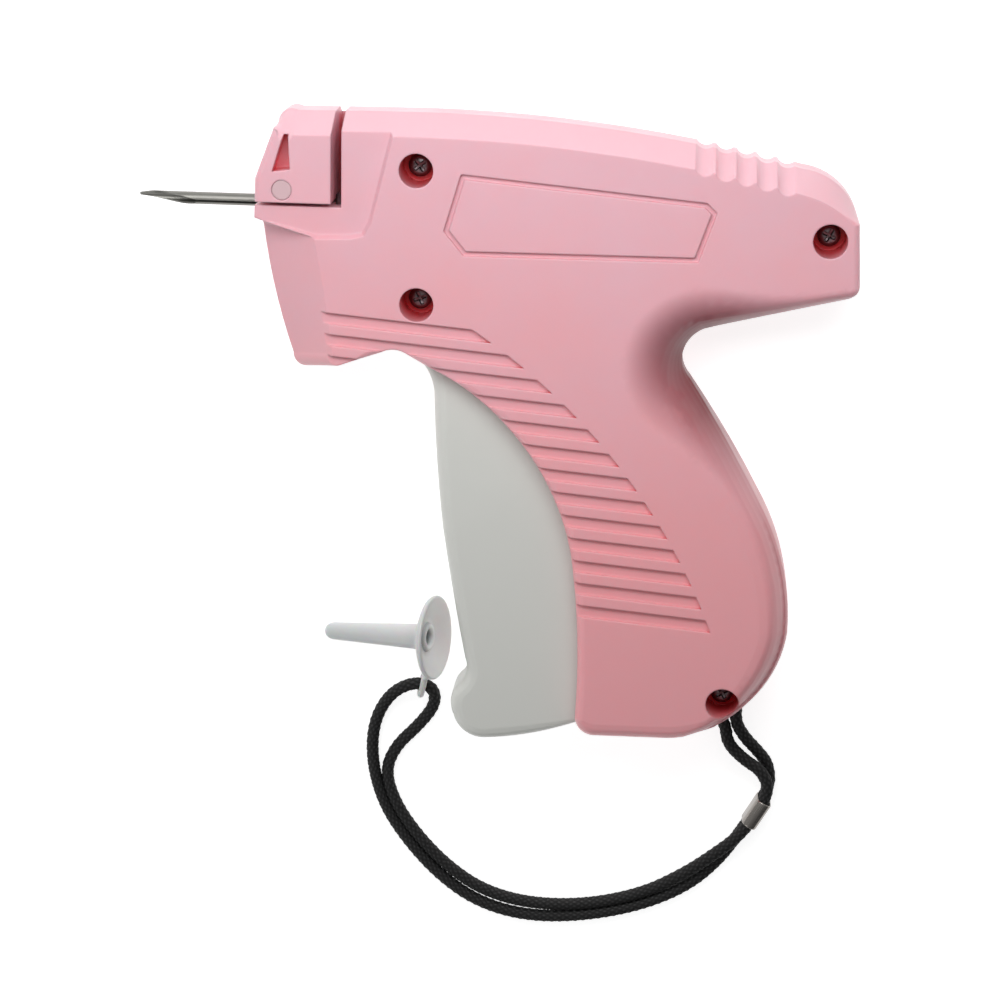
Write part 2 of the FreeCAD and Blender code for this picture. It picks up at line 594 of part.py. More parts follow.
def tube(route, diameter):
    """A cord along straight runs joined by arcs as large as the runs allow."""
    edges = []
    start = route[0]
    radii = []
    for before, corner, after in zip(route, route[1:], route[2:]):
        inward = (before - corner).normalize()
        onward = (after - corner).normalize()
        half_turn = (math.pi - inward.getAngle(onward)) / 2
        reach = CORD_ARC_SHARE * min((before - corner).Length, (after - corner).Length)
        radius = reach / math.tan(half_turn)
        radii.append(radius / diameter)
        first = corner + inward * reach
        last = corner + onward * reach
        bisector = (inward + onward).normalize()
        middle = corner + bisector * (radius / math.cos(half_turn) - radius)
        edges.append(Part.LineSegment(start, first).toShape())
        edges.append(Part.Arc(first, middle, last).toShape())
        start = last
    edges.append(Part.LineSegment(start, route[-1]).toShape())
    path = Part.Wire(edges)
    facing = Placement(route[0], Rotation(Vector(0, 0, 1), route[1] - route[0]))
    turn = 2 * math.pi / CORD_SIDES
    ring = [Vector(math.cos(turn * index), math.sin(turn * index), 0) * diameter / 2
            for index in range(CORD_SIDES)]
    ring = [facing.multVec(corner) for corner in ring]
    solid = path.makePipeShell([Part.makePolygon(ring + ring[:1])], True, False)
    section = CORD_SIDES * math.sin(turn) * diameter ** 2 / 8
    print("cord radii in diameters:", " ".join(f"{radius:.1f}" for radius in radii))
    print(f"cord length {path.Length:.1f}, volume ratio {solid.Volume / section / path.Length:.4f}")
    return solid


RATCHET_TOP = CAVITY_TOP - 2 * s.free_gap
RATCHET_LOW = RATCHET_TOP - s.ratchet_thickness
RATCHET_FOOT = PART_Z - RATCHET_TOP
LINK_FOOT = RATCHET_FOOT + (s.ratchet_thickness - s.link_thickness) / 2
LOCK = Vector(NOSE_X + 1.9 * s.lock_width, SEAM_HIGH + 1.4 * s.lock_width, PART_Z)
SCREW_POST = SCREWS[3]
CORD_Z = s.wall + s.cord_diameter / 2 + 2 * s.free_gap
LOOP_RADIUS = (s.post_diameter + s.cord_diameter) / 2 + s.free_gap
CORD_EXITS = [at(0.837, 0.052, CORD_Z), at(0.800, 0.037, CORD_Z)]
ANCHOR_ROUTE = [
    CORD_EXITS[0],
    SCREW_POST + Vector(LOOP_RADIUS, -0.1 * LOOP_RADIUS, CORD_Z - PART_Z),
    SCREW_POST + Vector(0.95 * LOOP_RADIUS, 0.95 * LOOP_RADIUS, CORD_Z - PART_Z),
    SCREW_POST + Vector(-0.95 * LOOP_RADIUS, 0.95 * LOOP_RADIUS, CORD_Z - PART_Z),
    SCREW_POST + Vector(-LOOP_RADIUS, -0.3 * LOOP_RADIUS, CORD_Z - PART_Z),
    CORD_EXITS[1],
]

CORD_ROUTE = [at(u, v, w * s.cord_diameter) for u, v, w in CORD_ROUTE_SHARES]
STRAND_LOW_Z = CORD_ROUTE[3].z
STRAND_HIGH_Z = CORD_ROUTE[33].z
EYELET = (CORD_ROUTE[17] + CORD_ROUTE[18]) / 2
EYELET_AXIS = (CORD_ROUTE[18] - CORD_ROUTE[17]).normalize()


def nose_cover():
    """The separate block over the needle hub, with its triangular window and plug hole."""
    low = Vector(NOSE_X - s.wall, SEAM_HIGH, PART_Z)
    high = Vector(SLOT_FRONT, -FLOOR_Y + s.wall, PART_Z + 2 * s.half_width)
    cover = casing_block().common(box(low, high))
    face = PART_Z + s.half_width
    window = prism([at(u, v) for u, v in NOSE_WINDOW_SHARES], face - s.window_depth, face + s.wall)
    seat = upright(PLUG, s.plug_diameter + 2 * s.running_gap, s.half_width - s.plug_length, 2 * s.half_width)
    return cover.cut([window, seat, blade_seat()] + hub_space())


def needle():
    """A steel tube with a slit along it, cut away to a scoop that ends in a point."""
    tip = NOSE_X - s.needle_reach
    outer = along_x(s.needle_diameter, tip, HUB_BACK, NEEDLE_Y)
    bore = along_x(s.needle_bore, tip - s.wall, HUB_BACK + s.wall, NEEDLE_Y)
    radius = s.needle_diameter / 2
    slit_low = Vector(tip - s.wall, NEEDLE_Y - 2 * radius, PART_Z)
    slit = box(slit_low, slit_low + Vector(2 * s.body_length, 2 * radius, s.needle_slit))
    corners = [
        Vector(tip - s.wall, NEEDLE_Y - 2 * radius, 0),
        Vector(tip + s.needle_scoop, NEEDLE_Y - 2 * radius, 0),
        Vector(tip + s.needle_scoop, NEEDLE_Y - radius, 0),
        Vector(tip + s.needle_scoop / 2, NEEDLE_Y + radius / 4, 0),
        Vector(tip, NEEDLE_Y + 0.9 * radius, 0),
        Vector(tip - s.wall, NEEDLE_Y + 0.9 * radius, 0),
    ]
    scoop = prism(corners, PART_Z - s.half_width, PART_Z + s.half_width)
    return outer.cut([bore, slit, scoop])


def needle_hub():
    """The plastic hub moulded on the needle, slit like it and flat where the blade runs."""
    hub = along_x(s.hub_diameter, HUB_FRONT, HUB_BACK, NEEDLE_Y)
    tube_room = along_x(s.needle_diameter, HUB_FRONT - s.wall, HUB_BACK + s.wall, NEEDLE_Y)
    low = Vector(HUB_FRONT - s.wall, NEEDLE_Y - s.hub_diameter, PART_Z)
    slit = box(low, low + Vector(2 * s.hub_length, s.hub_diameter, s.needle_slit))
    return hub.cut([tube_room, slit])


def cutter_blade():
    """A small blade across the clip's way, behind the needle hub, notched for the rod."""
    low = Vector(HUB_BACK + s.free_gap, NEEDLE_Y - s.hub_diameter / 2, PART_Z - s.blade_length / 2)
    plate = box(low, low + Vector(s.blade_thickness, s.hub_diameter, s.blade_length))
    rod = along_x(s.rod_diameter + 2 * s.free_gap, HUB_BACK, SLOT_BACK, NEEDLE_Y)
    low = Vector(HUB_BACK, NEEDLE_Y - s.hub_diameter, PART_Z - s.rod_diameter / 2 - s.free_gap)
    notch = box(low, low + Vector(s.slot_width, s.hub_diameter, s.rod_diameter + 2 * s.free_gap))
    return plate.cut([rod, notch])


def blade_seat():
    """The slot across the nose that holds the cutter blade."""
    low = Vector(HUB_BACK, NEEDLE_Y - s.hub_diameter / 2, PART_Z - s.blade_length / 2)
    return box(low, low + Vector(SLOT_FRONT - HUB_BACK, s.hub_diameter, s.blade_length))


def turned(point, degrees, about=Vector(0, 0, 0)):
    """A point turned about an upright line, positive from +X towards +Y."""
    return Rotation(Vector(0, 0, 1), degrees).multVec(point - about) + about


def trigger():
    """The trigger: a front web between two cheeks, a foot on its pin and a slotted horn."""
    side = s.trigger_width / 2
    insets = {"finger": s.trigger_round, "plain": s.free_gap}
    wires = []
    for share in TRIGGER_SECTION_SHARES:
        marks = outline_marks(TRIGGER_OUTLINE_SHARES, insets, side, share * side)
        wires.append(bent_wire(marks))
    upper = Part.makeLoft(wires, True, True)
    solid = upper.fuse(upper.mirror(Vector(0, 0, PART_Z), Vector(0, 0, 1)))
    along = (TAIL_REST - TRIGGER).normalize()
    far = max((TAIL_REST - TRIGGER).Length, (TAIL_FULL - TRIGGER).Length) + 2 * s.free_gap
    near = (LEVER - TRIGGER).Length - s.lever_tail - 3 * s.free_gap
    ends = [TRIGGER + along * far, TRIGGER + along * near]
    room = s.drive_pin / 2 + s.free_gap
    across = Vector(-along.y, along.x, 0) * room
    left = at(TRIGGER_HORN_SHARE, 0).x
    right = TAIL_REST.x + room + s.horn_wall
    top = ends[0].y + room + s.horn_wall
    low = ends[1].y - room
    horn = [Vector(left, top, 0), Vector(right, top, 0), Vector(right, low, 0),
            Vector(TAIL_REST.x, low - s.horn_wall, 0), Vector(left, low - s.horn_wall, 0)]
    solid = solid.fuse(prism(horn, PART_Z - side, PART_Z + side)).removeSplitter()
    channel = [at(u, v) for u, v in TRIGGER_CHANNEL_SHARES]
    solid = solid.cut(prism(channel, PART_Z - s.trigger_slot / 2, PART_Z + s.trigger_slot / 2))
    pin = upright(TRIGGER, s.pivot_diameter + 2 * s.running_gap, -side, side)
    slot = [upright(end, 2 * room, -side, side) for end in ends]
    slot.append(prism([ends[0] + across, ends[0] - across, ends[1] - across, ends[1] + across],
                      PART_Z - side, PART_Z + side))
    return solid.cut([pin] + slot)


def feature(name, shape):
    """A piece whose shape the functions above work out."""
    solids = shape.Solids
    piece = doc.addObject("Part::Feature", name)
    piece.Shape = solids[0] if len(solids) == 1 else Part.makeCompound(solids)
    pieces.append(piece)
    return piece


def cylinder(name, diameter, length, place, direction=Vector(0, 0, 1), keep=True):
    """A round pin or bar bound to the sheet."""
    piece = doc.addObject("Part::Cylinder", name)
    piece.setExpression("Radius", f"Sizes.{diameter} / 2")
    piece.setExpression("Height", length)
    piece.Placement = Placement(place, Rotation(Vector(0, 0, 1), direction))
    if keep:
        pieces.append(piece)
    return piece


def plane(body, role):
    """One of a body's own origin planes."""
    return [item for item in body.Origin.OriginFeatures if item.Role == role][0]


def sketch_on(body, name, lift=None):
    """A sketch on a body's own base plane, lifted by an expression where one is given."""
    sketch = body.newObject("Sketcher::SketchObject", name)
    sketch.AttachmentSupport = [(plane(body, "XY_Plane"), "")]
    sketch.MapMode = "FlatFace"
    if lift:
        sketch.setExpression("AttachmentOffset.Base.z", lift)
    return sketch


def bound(sketch, constraint, expression):
    """Adds a dimension to a sketch and binds it to the sheet."""
    index = sketch.addConstraint(constraint)
    sketch.setExpression(f"Constraints[{index}]", expression)


def circle_on(sketch, diameter, x=None, y=None):
    """A circle in a sketch, at its origin or at bound distances from it."""
    geometry = sketch.addGeometry(Part.Circle(Vector(0, 0, 0), Vector(0, 0, 1), 1), False)
    bound(sketch, Sketcher.Constraint("Diameter", geometry, 1), diameter)
    for kind, distance in (("DistanceX", x), ("DistanceY", y)):
        if distance:
            bound(sketch, Sketcher.Constraint(kind, -1, 1, geometry, 3, 1), distance)
    if not x and not y:
        sketch.addConstraint(Sketcher.Constraint("Coincident", geometry, 3, -1, 1))
    elif not x:
        sketch.addConstraint(Sketcher.Constraint("PointOnObject", geometry, 3, -2))


def polygon_on(sketch, corners):
    """A closed polygon in a sketch with each corner bound to the sheet."""
    count = len(corners)
    for index in range(count):
        start = Vector(math.cos(index * 2 * math.pi / count), math.sin(index * 2 * math.pi / count), 0)
        turn = (index + 1) * 2 * math.pi / count
        sketch.addGeometry(Part.LineSegment(start, Vector(math.cos(turn), math.sin(turn), 0)), False)
    for index in range(count):
        sketch.addConstraint(Sketcher.Constraint("Coincident", index, 2, (index + 1) % count, 1))
    for index, (x, y) in enumerate(corners):
        bound(sketch, Sketcher.Constraint("DistanceX", -1, 1, index, 1, 1), x)
        bound(sketch, Sketcher.Constraint("DistanceY", -1, 1, index, 1, 1), y)


def pad(body, sketch, length, middle=False):
    """A pad on a sketch, upwards or to both sides of it."""
    feature_pad = body.newObject("PartDesign::Pad", f"{sketch.Name}_pad")
    feature_pad.Profile = sketch
    feature_pad.setExpression("Length", length)
    feature_pad.Midplane = middle
    return feature_pad


def pocket(body, sketch, length, middle=True):
    """A pocket on a sketch, to both sides of it or down into the piece."""
    cut = body.newObject("PartDesign::Pocket", f"{sketch.Name}_pocket")
    cut.Profile = sketch
    cut.setExpression("Length", length)
    cut.Midplane = middle
    return cut


def part_body(name, place, turn=0):
    """A body of its own for one piece, turned about an upright line through its place."""
    body = doc.addObject("PartDesign::Body", name)
    body.Placement = Placement(place, Rotation(Vector(0, 0, 1), turn))
    pieces.append(body)
    return body


def drive_lever():
    """A flat lever: hub, long tapering arm to the slide and short tail to the trigger."""
    body = part_body("drive_lever", LEVER, -s.lever_swing / 2)
    hub = sketch_on(body, "lever_hub_sketch")
    circle_on(hub, "Sizes.lever_hub")
    pad(body, hub, "Sizes.lever_thickness", True)
    arm = sketch_on(body, "lever_arm_sketch")
    reach = "Sizes.lever_reach"
    tail = "-Sizes.lever_tail"
    knee = "0.45 * Sizes.lever_reach"
    polygon_on(arm, [
        ("-Sizes.lever_hub / 2", "0 mm"), (tail_side("-"), tail), (tail_side(""), tail),
        ("Sizes.lever_hub / 2", "0 mm"), ("Sizes.lever_width / 2 - Sizes.lever_knee", knee),
        ("0.6 * Sizes.lever_width", reach), ("-0.25 * Sizes.lever_width", reach),
        ("-Sizes.lever_width / 2 - Sizes.lever_knee", knee),
    ])
    pad(body, arm, "Sizes.lever_thickness", True)
    for name, diameter, y in (("lever_top", "Sizes.lever_width", reach),
                              ("lever_foot", "2 * Sizes.drive_pin", tail)):
        end = sketch_on(body, name)
        circle_on(end, diameter, y=y)
        pad(body, end, "Sizes.lever_thickness", True)
    for name, diameter, y in (("lever_bore", "Sizes.pivot_diameter + 2 * Sizes.running_gap", None),
                              ("lever_top_bore", "Sizes.drive_pin", reach),
                              ("lever_foot_bore", "Sizes.drive_pin", tail),
                              ("lever_link_bore", "Sizes.link_pin", "Sizes.link_offset")):
        bore = sketch_on(body, name)
        circle_on(bore, diameter, y=y)
        pocket(body, bore, "2 * Sizes.lever_thickness")


def tail_side(sign):
    """Half the drive lever's width at its tail, on one side."""
    return f"{sign}Sizes.drive_pin"


def lever_pins():
    """The steel pins in the drive lever: for the slide, for the trigger and for the feed link."""
    lean = -s.lever_swing / 2
    top = LEVER + turned(Vector(0, s.lever_reach, -s.slide_width / 2), lean)
    foot = LEVER + turned(Vector(0, -s.lever_tail, -s.trigger_width / 2 + s.free_gap), lean)
    stub = LEVER + turned(Vector(0, s.link_offset, 0), lean)
    stub.z = LINK_FOOT
    cylinder("slide_pin", "drive_pin", "Sizes.slide_width", top)
    cylinder("trigger_roller_pin", "drive_pin", "Sizes.trigger_width - 2 * Sizes.free_gap", foot)
    lift = "(Sizes.ratchet_thickness - Sizes.link_thickness) / 2 + Sizes.wall + 2 * Sizes.free_gap"
    cylinder("link_pin", "link_pin", f"Sizes.half_width + Sizes.lever_thickness / 2 - ({lift})", stub)


def slide_block():
    """The block that carries the push rod, slotted for the drive lever and its pin."""
    middle = Vector(SLIDE_REST, SLIDE_Y, PART_Z)
    half = Vector(s.slide_length, s.slide_height, s.slide_width) / 2
    block = box(middle - half, middle + half)
    gap = s.lever_thickness + 2 * s.free_gap
    room = s.slide_length / 2 - s.slide_web
    cleft_low = Vector(middle.x - room, middle.y - s.slide_height, PART_Z - gap / 2)
    cleft_top = PIN_TOP + s.lever_width / 2 + s.free_gap
    cleft = box(cleft_low, Vector(middle.x + room, cleft_top, PART_Z + gap / 2))
    width = s.drive_pin + 2 * s.free_gap
    low = Vector(middle.x - width / 2, PIN_LOW - width / 2, PART_Z - s.slide_width)
    slot = box(low, Vector(middle.x + width / 2, PIN_TOP + width / 2, PART_Z + s.slide_width))
    return block.cut([cleft, slot])


def push_rod():
    """The steel rod that pushes the fastener through the needle."""
    tip = SLOT_BACK + s.free_gap
    back = SLIDE_REST - s.slide_length / 2
    return along_x(s.rod_diameter, tip, back, NEEDLE_Y)


def feed_wheel():
    """The wheel that moves the clip: a ratchet ring and a narrower toothed drum."""
    body = part_body("feed_wheel", Vector(WHEEL.x, WHEEL.y, RATCHET_FOOT))
    rings = (("drum", "feed_radius", "Sizes.feed_width"),
             ("ratchet", "ratchet_radius", "Sizes.ratchet_thickness"))
    for name, radius, length in rings:
        core = sketch_on(body, f"{name}_core")
        circle_on(core, f"2 * (Sizes.{radius} - Sizes.tooth_height)")
        pad(body, core, length)
    first = TOOTH_ANGLE
    last = TOOTH_ANGLE + TOOTH_SPREAD
    teeth = []
    for name, radius, length in rings:
        foot = f"(Sizes.{radius} - 2 * Sizes.tooth_height)"
        tail = f"(Sizes.{radius} - Sizes.tooth_height - Sizes.running_gap)"
        tooth = sketch_on(body, f"{name}_tooth")
        polygon_on(tooth, [
            (f"{foot} * cos({first})", f"{foot} * sin({first})"),
            (f"Sizes.{radius} * cos({first})", f"Sizes.{radius} * sin({first})"),
            (f"{tail} * cos({last})", f"{tail} * sin({last})"),
        ])
        teeth.append(pad(body, tooth, length))
    row = body.newObject("PartDesign::PolarPattern", "wheel_teeth_row")
    row.Originals = teeth
    row.Axis = (plane(body, "Z_Axis"), [""])
    row.setExpression("Occurrences", "Sizes.wheel_teeth")
    body.Tip = row
    bore = sketch_on(body, "wheel_bore")
    circle_on(bore, "Sizes.axle_diameter + 2 * Sizes.running_gap")
    pocket(body, bore, "4 * Sizes.feed_width")


def feed_link():
    """The flat link from the drive lever to the ratchet: a fork, a bent arm and a pawl."""
    pin = LEVER + Vector(s.link_offset * math.sin(LEVER_LEAN), s.link_offset * math.cos(LEVER_LEAN), 0)
    room = s.link_pin / 2 + s.free_gap / 2
    side = room + s.link_pin / 2
    roof = LEVER.y + s.link_offset + room + s.free_gap
    tooth = math.radians(TOOTH_PUSHED)
    face = WHEEL.x + s.ratchet_radius * math.cos(tooth) + s.free_gap
    hook = WHEEL.y + s.ratchet_radius - 0.7 * s.tooth_height
    crest = WHEEL.y + s.ratchet_radius + 0.6 * s.tooth_height
    elbow = at(*LINK_ELBOW_SHARE)
    bend = at(*LINK_BEND_SHARE)
    wide = s.link_width
    outline = [
        Vector(pin.x - room, pin.y - s.link_pin / 2, 0), Vector(pin.x - room, roof, 0),
        Vector(pin.x + room, roof, 0), Vector(pin.x + room, pin.y - s.link_pin / 2, 0),
        Vector(pin.x + side, pin.y - s.link_pin / 2, 0), Vector(pin.x + side, roof + wide, 0),
        elbow + Vector(0.7 * wide, 0.7 * wide, 0), bend + Vector(0, wide, 0),
        Vector(face + s.link_pin, crest + wide, 0), Vector(face, crest + 0.4 * wide, 0),
        Vector(face, hook, 0), Vector(face + s.link_pin, crest, 0), bend, elbow,
        Vector(pin.x - side, roof - s.free_gap, 0),
        Vector(pin.x - side, pin.y - s.link_pin / 2, 0),
    ]
    return prism(outline, LINK_FOOT, LINK_FOOT + s.link_thickness)


def detent_spring():
    """The leaf that holds the ratchet: from the lower screw post into a tooth gap."""
    post = SCREWS[1]
    tip = WHEEL + turned(Vector(s.ratchet_radius - 0.7 * s.tooth_height, 0, 0), DETENT_ANGLE)
    leaf = s.spring_wire / 2
    knee = Vector(tip.x - leaf / 2, WHEEL.y - s.ratchet_radius - leaf, 0)
    grip = post + Vector(-s.post_diameter / 2 - leaf / 2, leaf, 0)
    outline = [
        tip, tip - Vector(leaf, 0, 0), knee - Vector(leaf, leaf, 0), grip - Vector(0, leaf, 0),
        grip - Vector(0, 2 * s.post_diameter / 2, 0), grip + Vector(leaf, -s.post_diameter, 0),
        grip + Vector(leaf, leaf / 2, 0), knee + Vector(leaf / 2, 0, 0),
    ]
    held = Part.makeCylinder(s.post_diameter / 2 + s.running_gap, PART_Z, Vector(post.x, post.y, 0))
    return prism(outline, LINK_FOOT, LINK_FOOT + s.link_thickness).cut(held)


def lock_lever():
    """The needle lock lever in its recess: a thumb plate on a round post."""
    face = s.half_width - s.free_gap
    low = face - s.lock_thickness
    head = upright(LOCK, s.lock_width, low, face)
    end = LOCK + Vector(s.lock_length - s.lock_width / 2, 0, 0)
    plate = box(Vector(LOCK.x, LOCK.y - s.lock_width / 2, PART_Z + low),
                Vector(end.x, LOCK.y + s.lock_width / 2, PART_Z + face))
    thumb = upright(end, s.lock_width, low, face)
    post = upright(LOCK, s.lock_post, s.half_width / 2 + s.free_gap, low + s.free_gap)
    lever = head.fuse([plate, thumb, post]).removeSplitter()
    return lever.mirror(Vector(0, 0, PART_Z), Vector(0, 0, 1))


def return_spring():
    """The torsion spring on the trigger pin: a close coil and a leg to each of its pieces."""
    inner = s.pivot_diameter / 2 + s.free_gap
    outer = inner + s.spring_wire
    height = s.spring_turns * s.spring_wire
    coil = upright(TRIGGER, 2 * outer, -height / 2, height / 2)
    coil = coil.cut(upright(TRIGGER, 2 * inner, -height, height))
    middle = inner + s.spring_wire / 2
    rise = (height - s.spring_wire) / 2
    legs = []
    for start, way in ((Vector(0, -middle, -rise), Vector(-1, 0, 0)), (Vector(middle, 0, rise), Vector(0, 1, 0))):
        legs.append(Part.makeCylinder(s.spring_wire / 2, s.spring_leg, TRIGGER + start, way))
    return coil.fuse(legs)


def casing_screws():
    """The four screws that hold the casing halves together, each a head on a shank."""
    screw = doc.addObject("PartDesign::Body", "casing_screw_pattern")
    head = sketch_on(screw, "screw_head_sketch")
    circle_on(head, "Sizes.screw_head")
    pad(screw, head, "Sizes.screw_head_height")
    shank = sketch_on(screw, "screw_shank_sketch")
    circle_on(shank, "Sizes.screw_shank")
    grip = pad(screw, shank, "Sizes.screw_length")
    grip.Reversed = True
    for name, long_side, short_side in (("screw_cross_x", "0.6", "0.12"), ("screw_cross_y", "0.12", "0.6")):
        bar = sketch_on(screw, name, "Sizes.screw_head_height")
        x = f"{long_side} * Sizes.screw_head / 2"
        y = f"{short_side} * Sizes.screw_head / 2"
        polygon_on(bar, [(f"-{x}", f"-{y}"), (x, f"-{y}"), (x, y), (f"-{x}", y)])
        pocket(screw, bar, "0.6 * Sizes.screw_head_height", False)
    doc.recompute()
    screws = []
    for place in SCREWS:
        shape = screw.Shape.copy()
        shape.translate(Vector(place.x, place.y, PART_Z + s.well_floor))
        screws.append(shape)
    return Part.makeCompound(screws)


def ferrule():
    """The crimped steel ferrule round both strands, one above the other."""
    axis = (CORD_ROUTE[4] - CORD_ROUTE[3]).normalize()
    middle = (CORD_ROUTE[4] + CORD_ROUTE[3]) / 2
    across = Vector(-axis.y, axis.x, 0)
    rise = STRAND_HIGH_Z - STRAND_LOW_Z
    foot = middle - axis * s.ferrule_length / 2

    def slug(radius):
        base = Vector(foot.x, foot.y, STRAND_LOW_Z)
        top = base + Vector(0, 0, rise)
        ends = [Part.makeCylinder(radius, s.ferrule_length, place, axis) for place in (base, top)]
        left = base + across * radius
        right = base - across * radius
        along = axis * s.ferrule_length
        face = Part.Face(Part.makePolygon([left, right, right + along, left + along, left]))
        return ends[0].fuse([ends[1], face.extrude(Vector(0, 0, rise))]).removeSplitter()

    outer = slug(s.cord_diameter / 2 + s.running_gap + s.ferrule_wall)
    holes = []
    for height in (STRAND_LOW_Z, STRAND_HIGH_Z):
        base = Vector(foot.x, foot.y, height) - axis * s.ferrule_length
        bore = s.cord_diameter / 2 + s.running_gap
        holes.append(Part.makeCylinder(bore, 3 * s.ferrule_length, base, axis))
    return outer.cut(holes)


def needle_cap():
    """The needle cap: a tapering tube in a dished disc, with an eyelet for the cord."""
    root = s.cap_root / 2
    rim = s.cap_disc / 2
    end = s.cap_length + s.cap_dish
    thick = s.cap_disc_thickness
    profile = [
        (0, 0), (0, s.cap_tip / 2), (s.cap_length - thick, root), (s.cap_length, 1.6 * root),
        (end, rim), (end + thick, rim), (s.cap_length + thick, 1.5 * root),
        (s.cap_length + thick, s.cap_bore / 2), (thick, s.cap_bore / 2 - thick / 3), (thick, 0),
    ]
    points = [Vector(along - end, radius, 0) for along, radius in profile]
    face = Part.Face(Part.makePolygon(points + points[:1]))
    cap = face.revolve(Vector(0, 0, 0), Vector(1, 0, 0), 360)
    heading = Rotation(Vector(0, 0, 1), CAP_HEADING)
    tilt = Rotation(Vector(0, 1, 0), -s.cap_tilt)
    pose = Placement(at(*CAP_PLACE_SHARE, CAP_HEIGHT_SHARE * s.cap_disc), heading.multiply(tilt))
    cap.Placement = pose
    foot = EYELET - EYELET_AXIS * s.eyelet_wire / 2
    ring = Part.makeCylinder(s.eyelet_radius + s.eyelet_wire / 2, s.eyelet_wire, foot, EYELET_AXIS)
    hole = Part.makeCylinder(s.eyelet_radius - s.eyelet_wire / 2, 2 * s.eyelet_wire,
                             foot - EYELET_AXIS * s.eyelet_wire / 2, EYELET_AXIS)
    back = pose.multVec(Vector(-s.cap_dish / 8, -0.86 * rim, 0))
    rise = back - EYELET
    rise = rise - EYELET_AXIS * rise.dot(EYELET_AXIS)
    top = EYELET + rise.normalize() * s.eyelet_radius
    stem = Part.makeCylinder(s.eyelet_wire / 2, (back - top).Length, top, back - top)
    return cap.fuse([ring, stem]).cut(hole)


def lanyard_cord():
    """The cord from one mouth of the grip through ferrule and eyelet back to the other."""
    away = 1.7 * s.cord_diameter
    first, last = CORD_EXITS
    lead = first + (first - ANCHOR_ROUTE[1]).normalize() * away
    back = last + (last - ANCHOR_ROUTE[-2]).normalize() * away
    return tube([first, lead] + CORD_ROUTE + [back, last], s.cord_diameter)


pieces = []
PLUG = at(*PLUG_PLACE_SHARE)
shared = common_half()
feature("left_shell", left_half(shared))
feature("right_shell", right_half(shared))
feature("nose_cover", nose_cover())
plug_foot = Vector(PLUG.x, PLUG.y, PART_Z + s.half_width - s.plug_length)
cylinder("nose_plug", "plug_diameter", "Sizes.plug_length - Sizes.free_gap / 2", plug_foot)
feature("casing_screws", casing_screws())
feature("needle", needle())
feature("needle_hub", needle_hub())
feature("cutter_blade", cutter_blade())
pin_foot = Vector(0, 0, s.free_gap - CAVITY_TOP)
pin_length = "2 * (Sizes.half_width - Sizes.wall - Sizes.free_gap)"
for name, place in (("trigger_pin", TRIGGER), ("lever_pin", LEVER)):
    cylinder(name, "pivot_diameter", pin_length, place + pin_foot)
feature("trigger", trigger())
drive_lever()
lever_pins()
feature("slide_block", slide_block())
feature("push_rod", push_rod())
feed_wheel()
axle_foot = Vector(WHEEL.x, WHEEL.y, PART_Z - CAVITY_TOP - s.wall / 2 + s.free_gap)
axle_length = "Sizes.half_width - Sizes.wall / 2 + Sizes.slot_width"
cylinder("feed_axle", "axle_diameter", axle_length, axle_foot)
feature("feed_link", feed_link())
feature("detent_spring", detent_spring())
feature("return_spring", return_spring())
feature("needle_lock_lever", lock_lever())
feature("lanyard_anchor", tube(ANCHOR_ROUTE, s.cord_diameter))
feature("lanyard_cord", lanyard_cord())
feature("lanyard_ferrule", ferrule())
feature("needle_cap", needle_cap())
doc.recompute()

swing = math.degrees((TAIL_REST - TRIGGER).getAngle(TAIL_FULL - TRIGGER))
print(f"trigger swing {swing:.3f} degrees, slide stroke {STROKE:.3f}")
print(f"stations: lever {LEVER}, trigger {TRIGGER}, wheel {WHEEL}, lock {LOCK}")

os.makedirs("parts", exist_ok=True)
for item in doc.Objects:
    if "Invalid" in item.State or "Error" in item.State:
        raise RuntimeError(f"{item.Name} failed to build: {item.State} {item.getStatusString()}")
for piece in pieces:
    if piece.Shape.isNull() or not piece.Shape.isValid():
        raise RuntimeError(f"{piece.Name} has no valid shape")
for piece in pieces:
    piece.Shape.exportStep(f"parts/{piece.Name}.step")
    volume = sum(solid.Volume for solid in piece.Shape.Solids)
    print(f"{piece.Name}: {len(piece.Shape.Solids)} solids, {volume:.1f} cubic mm")
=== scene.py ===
# %% [markdown]
# A garment tag attacher is a pistol-shaped hand tool: a moulded pink casing in two halves, a
# pale trigger that the fingers squeeze, a slotted steel needle, and a cord with a needle cap.
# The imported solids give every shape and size. This script dresses them: it sets the camera and
# light, braids the cord, turns the screws and gives each surface the finish of its material.

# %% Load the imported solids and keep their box
import math

import bmesh
import bpy
import numpy as np
from mathutils import Matrix, Vector


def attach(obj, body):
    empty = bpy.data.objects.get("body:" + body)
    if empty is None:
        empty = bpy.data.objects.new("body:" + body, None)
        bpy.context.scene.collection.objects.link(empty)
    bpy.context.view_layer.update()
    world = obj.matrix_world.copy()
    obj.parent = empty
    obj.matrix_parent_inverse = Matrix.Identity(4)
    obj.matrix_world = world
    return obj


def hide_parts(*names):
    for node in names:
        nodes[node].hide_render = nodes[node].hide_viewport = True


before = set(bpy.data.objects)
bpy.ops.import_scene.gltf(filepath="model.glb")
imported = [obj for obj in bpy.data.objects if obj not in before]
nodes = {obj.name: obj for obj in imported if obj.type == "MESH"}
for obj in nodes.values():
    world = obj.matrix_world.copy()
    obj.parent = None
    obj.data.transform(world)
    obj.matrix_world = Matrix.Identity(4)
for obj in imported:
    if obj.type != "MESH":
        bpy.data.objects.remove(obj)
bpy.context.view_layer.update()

MM = 0.001


def shown(name, data):
    """A new object with its data, linked into the scene."""
    thing = bpy.data.objects.new(name, data)
    bpy.context.scene.collection.objects.link(thing)
    return thing


# %% [markdown]
# The photograph looks down on the tool from just above its top edge, with a long lens. The
# camera stands at the place where the rims of the screw wells, the nose's upright edges and the
# casing's two outlines all fall where the photograph has them.

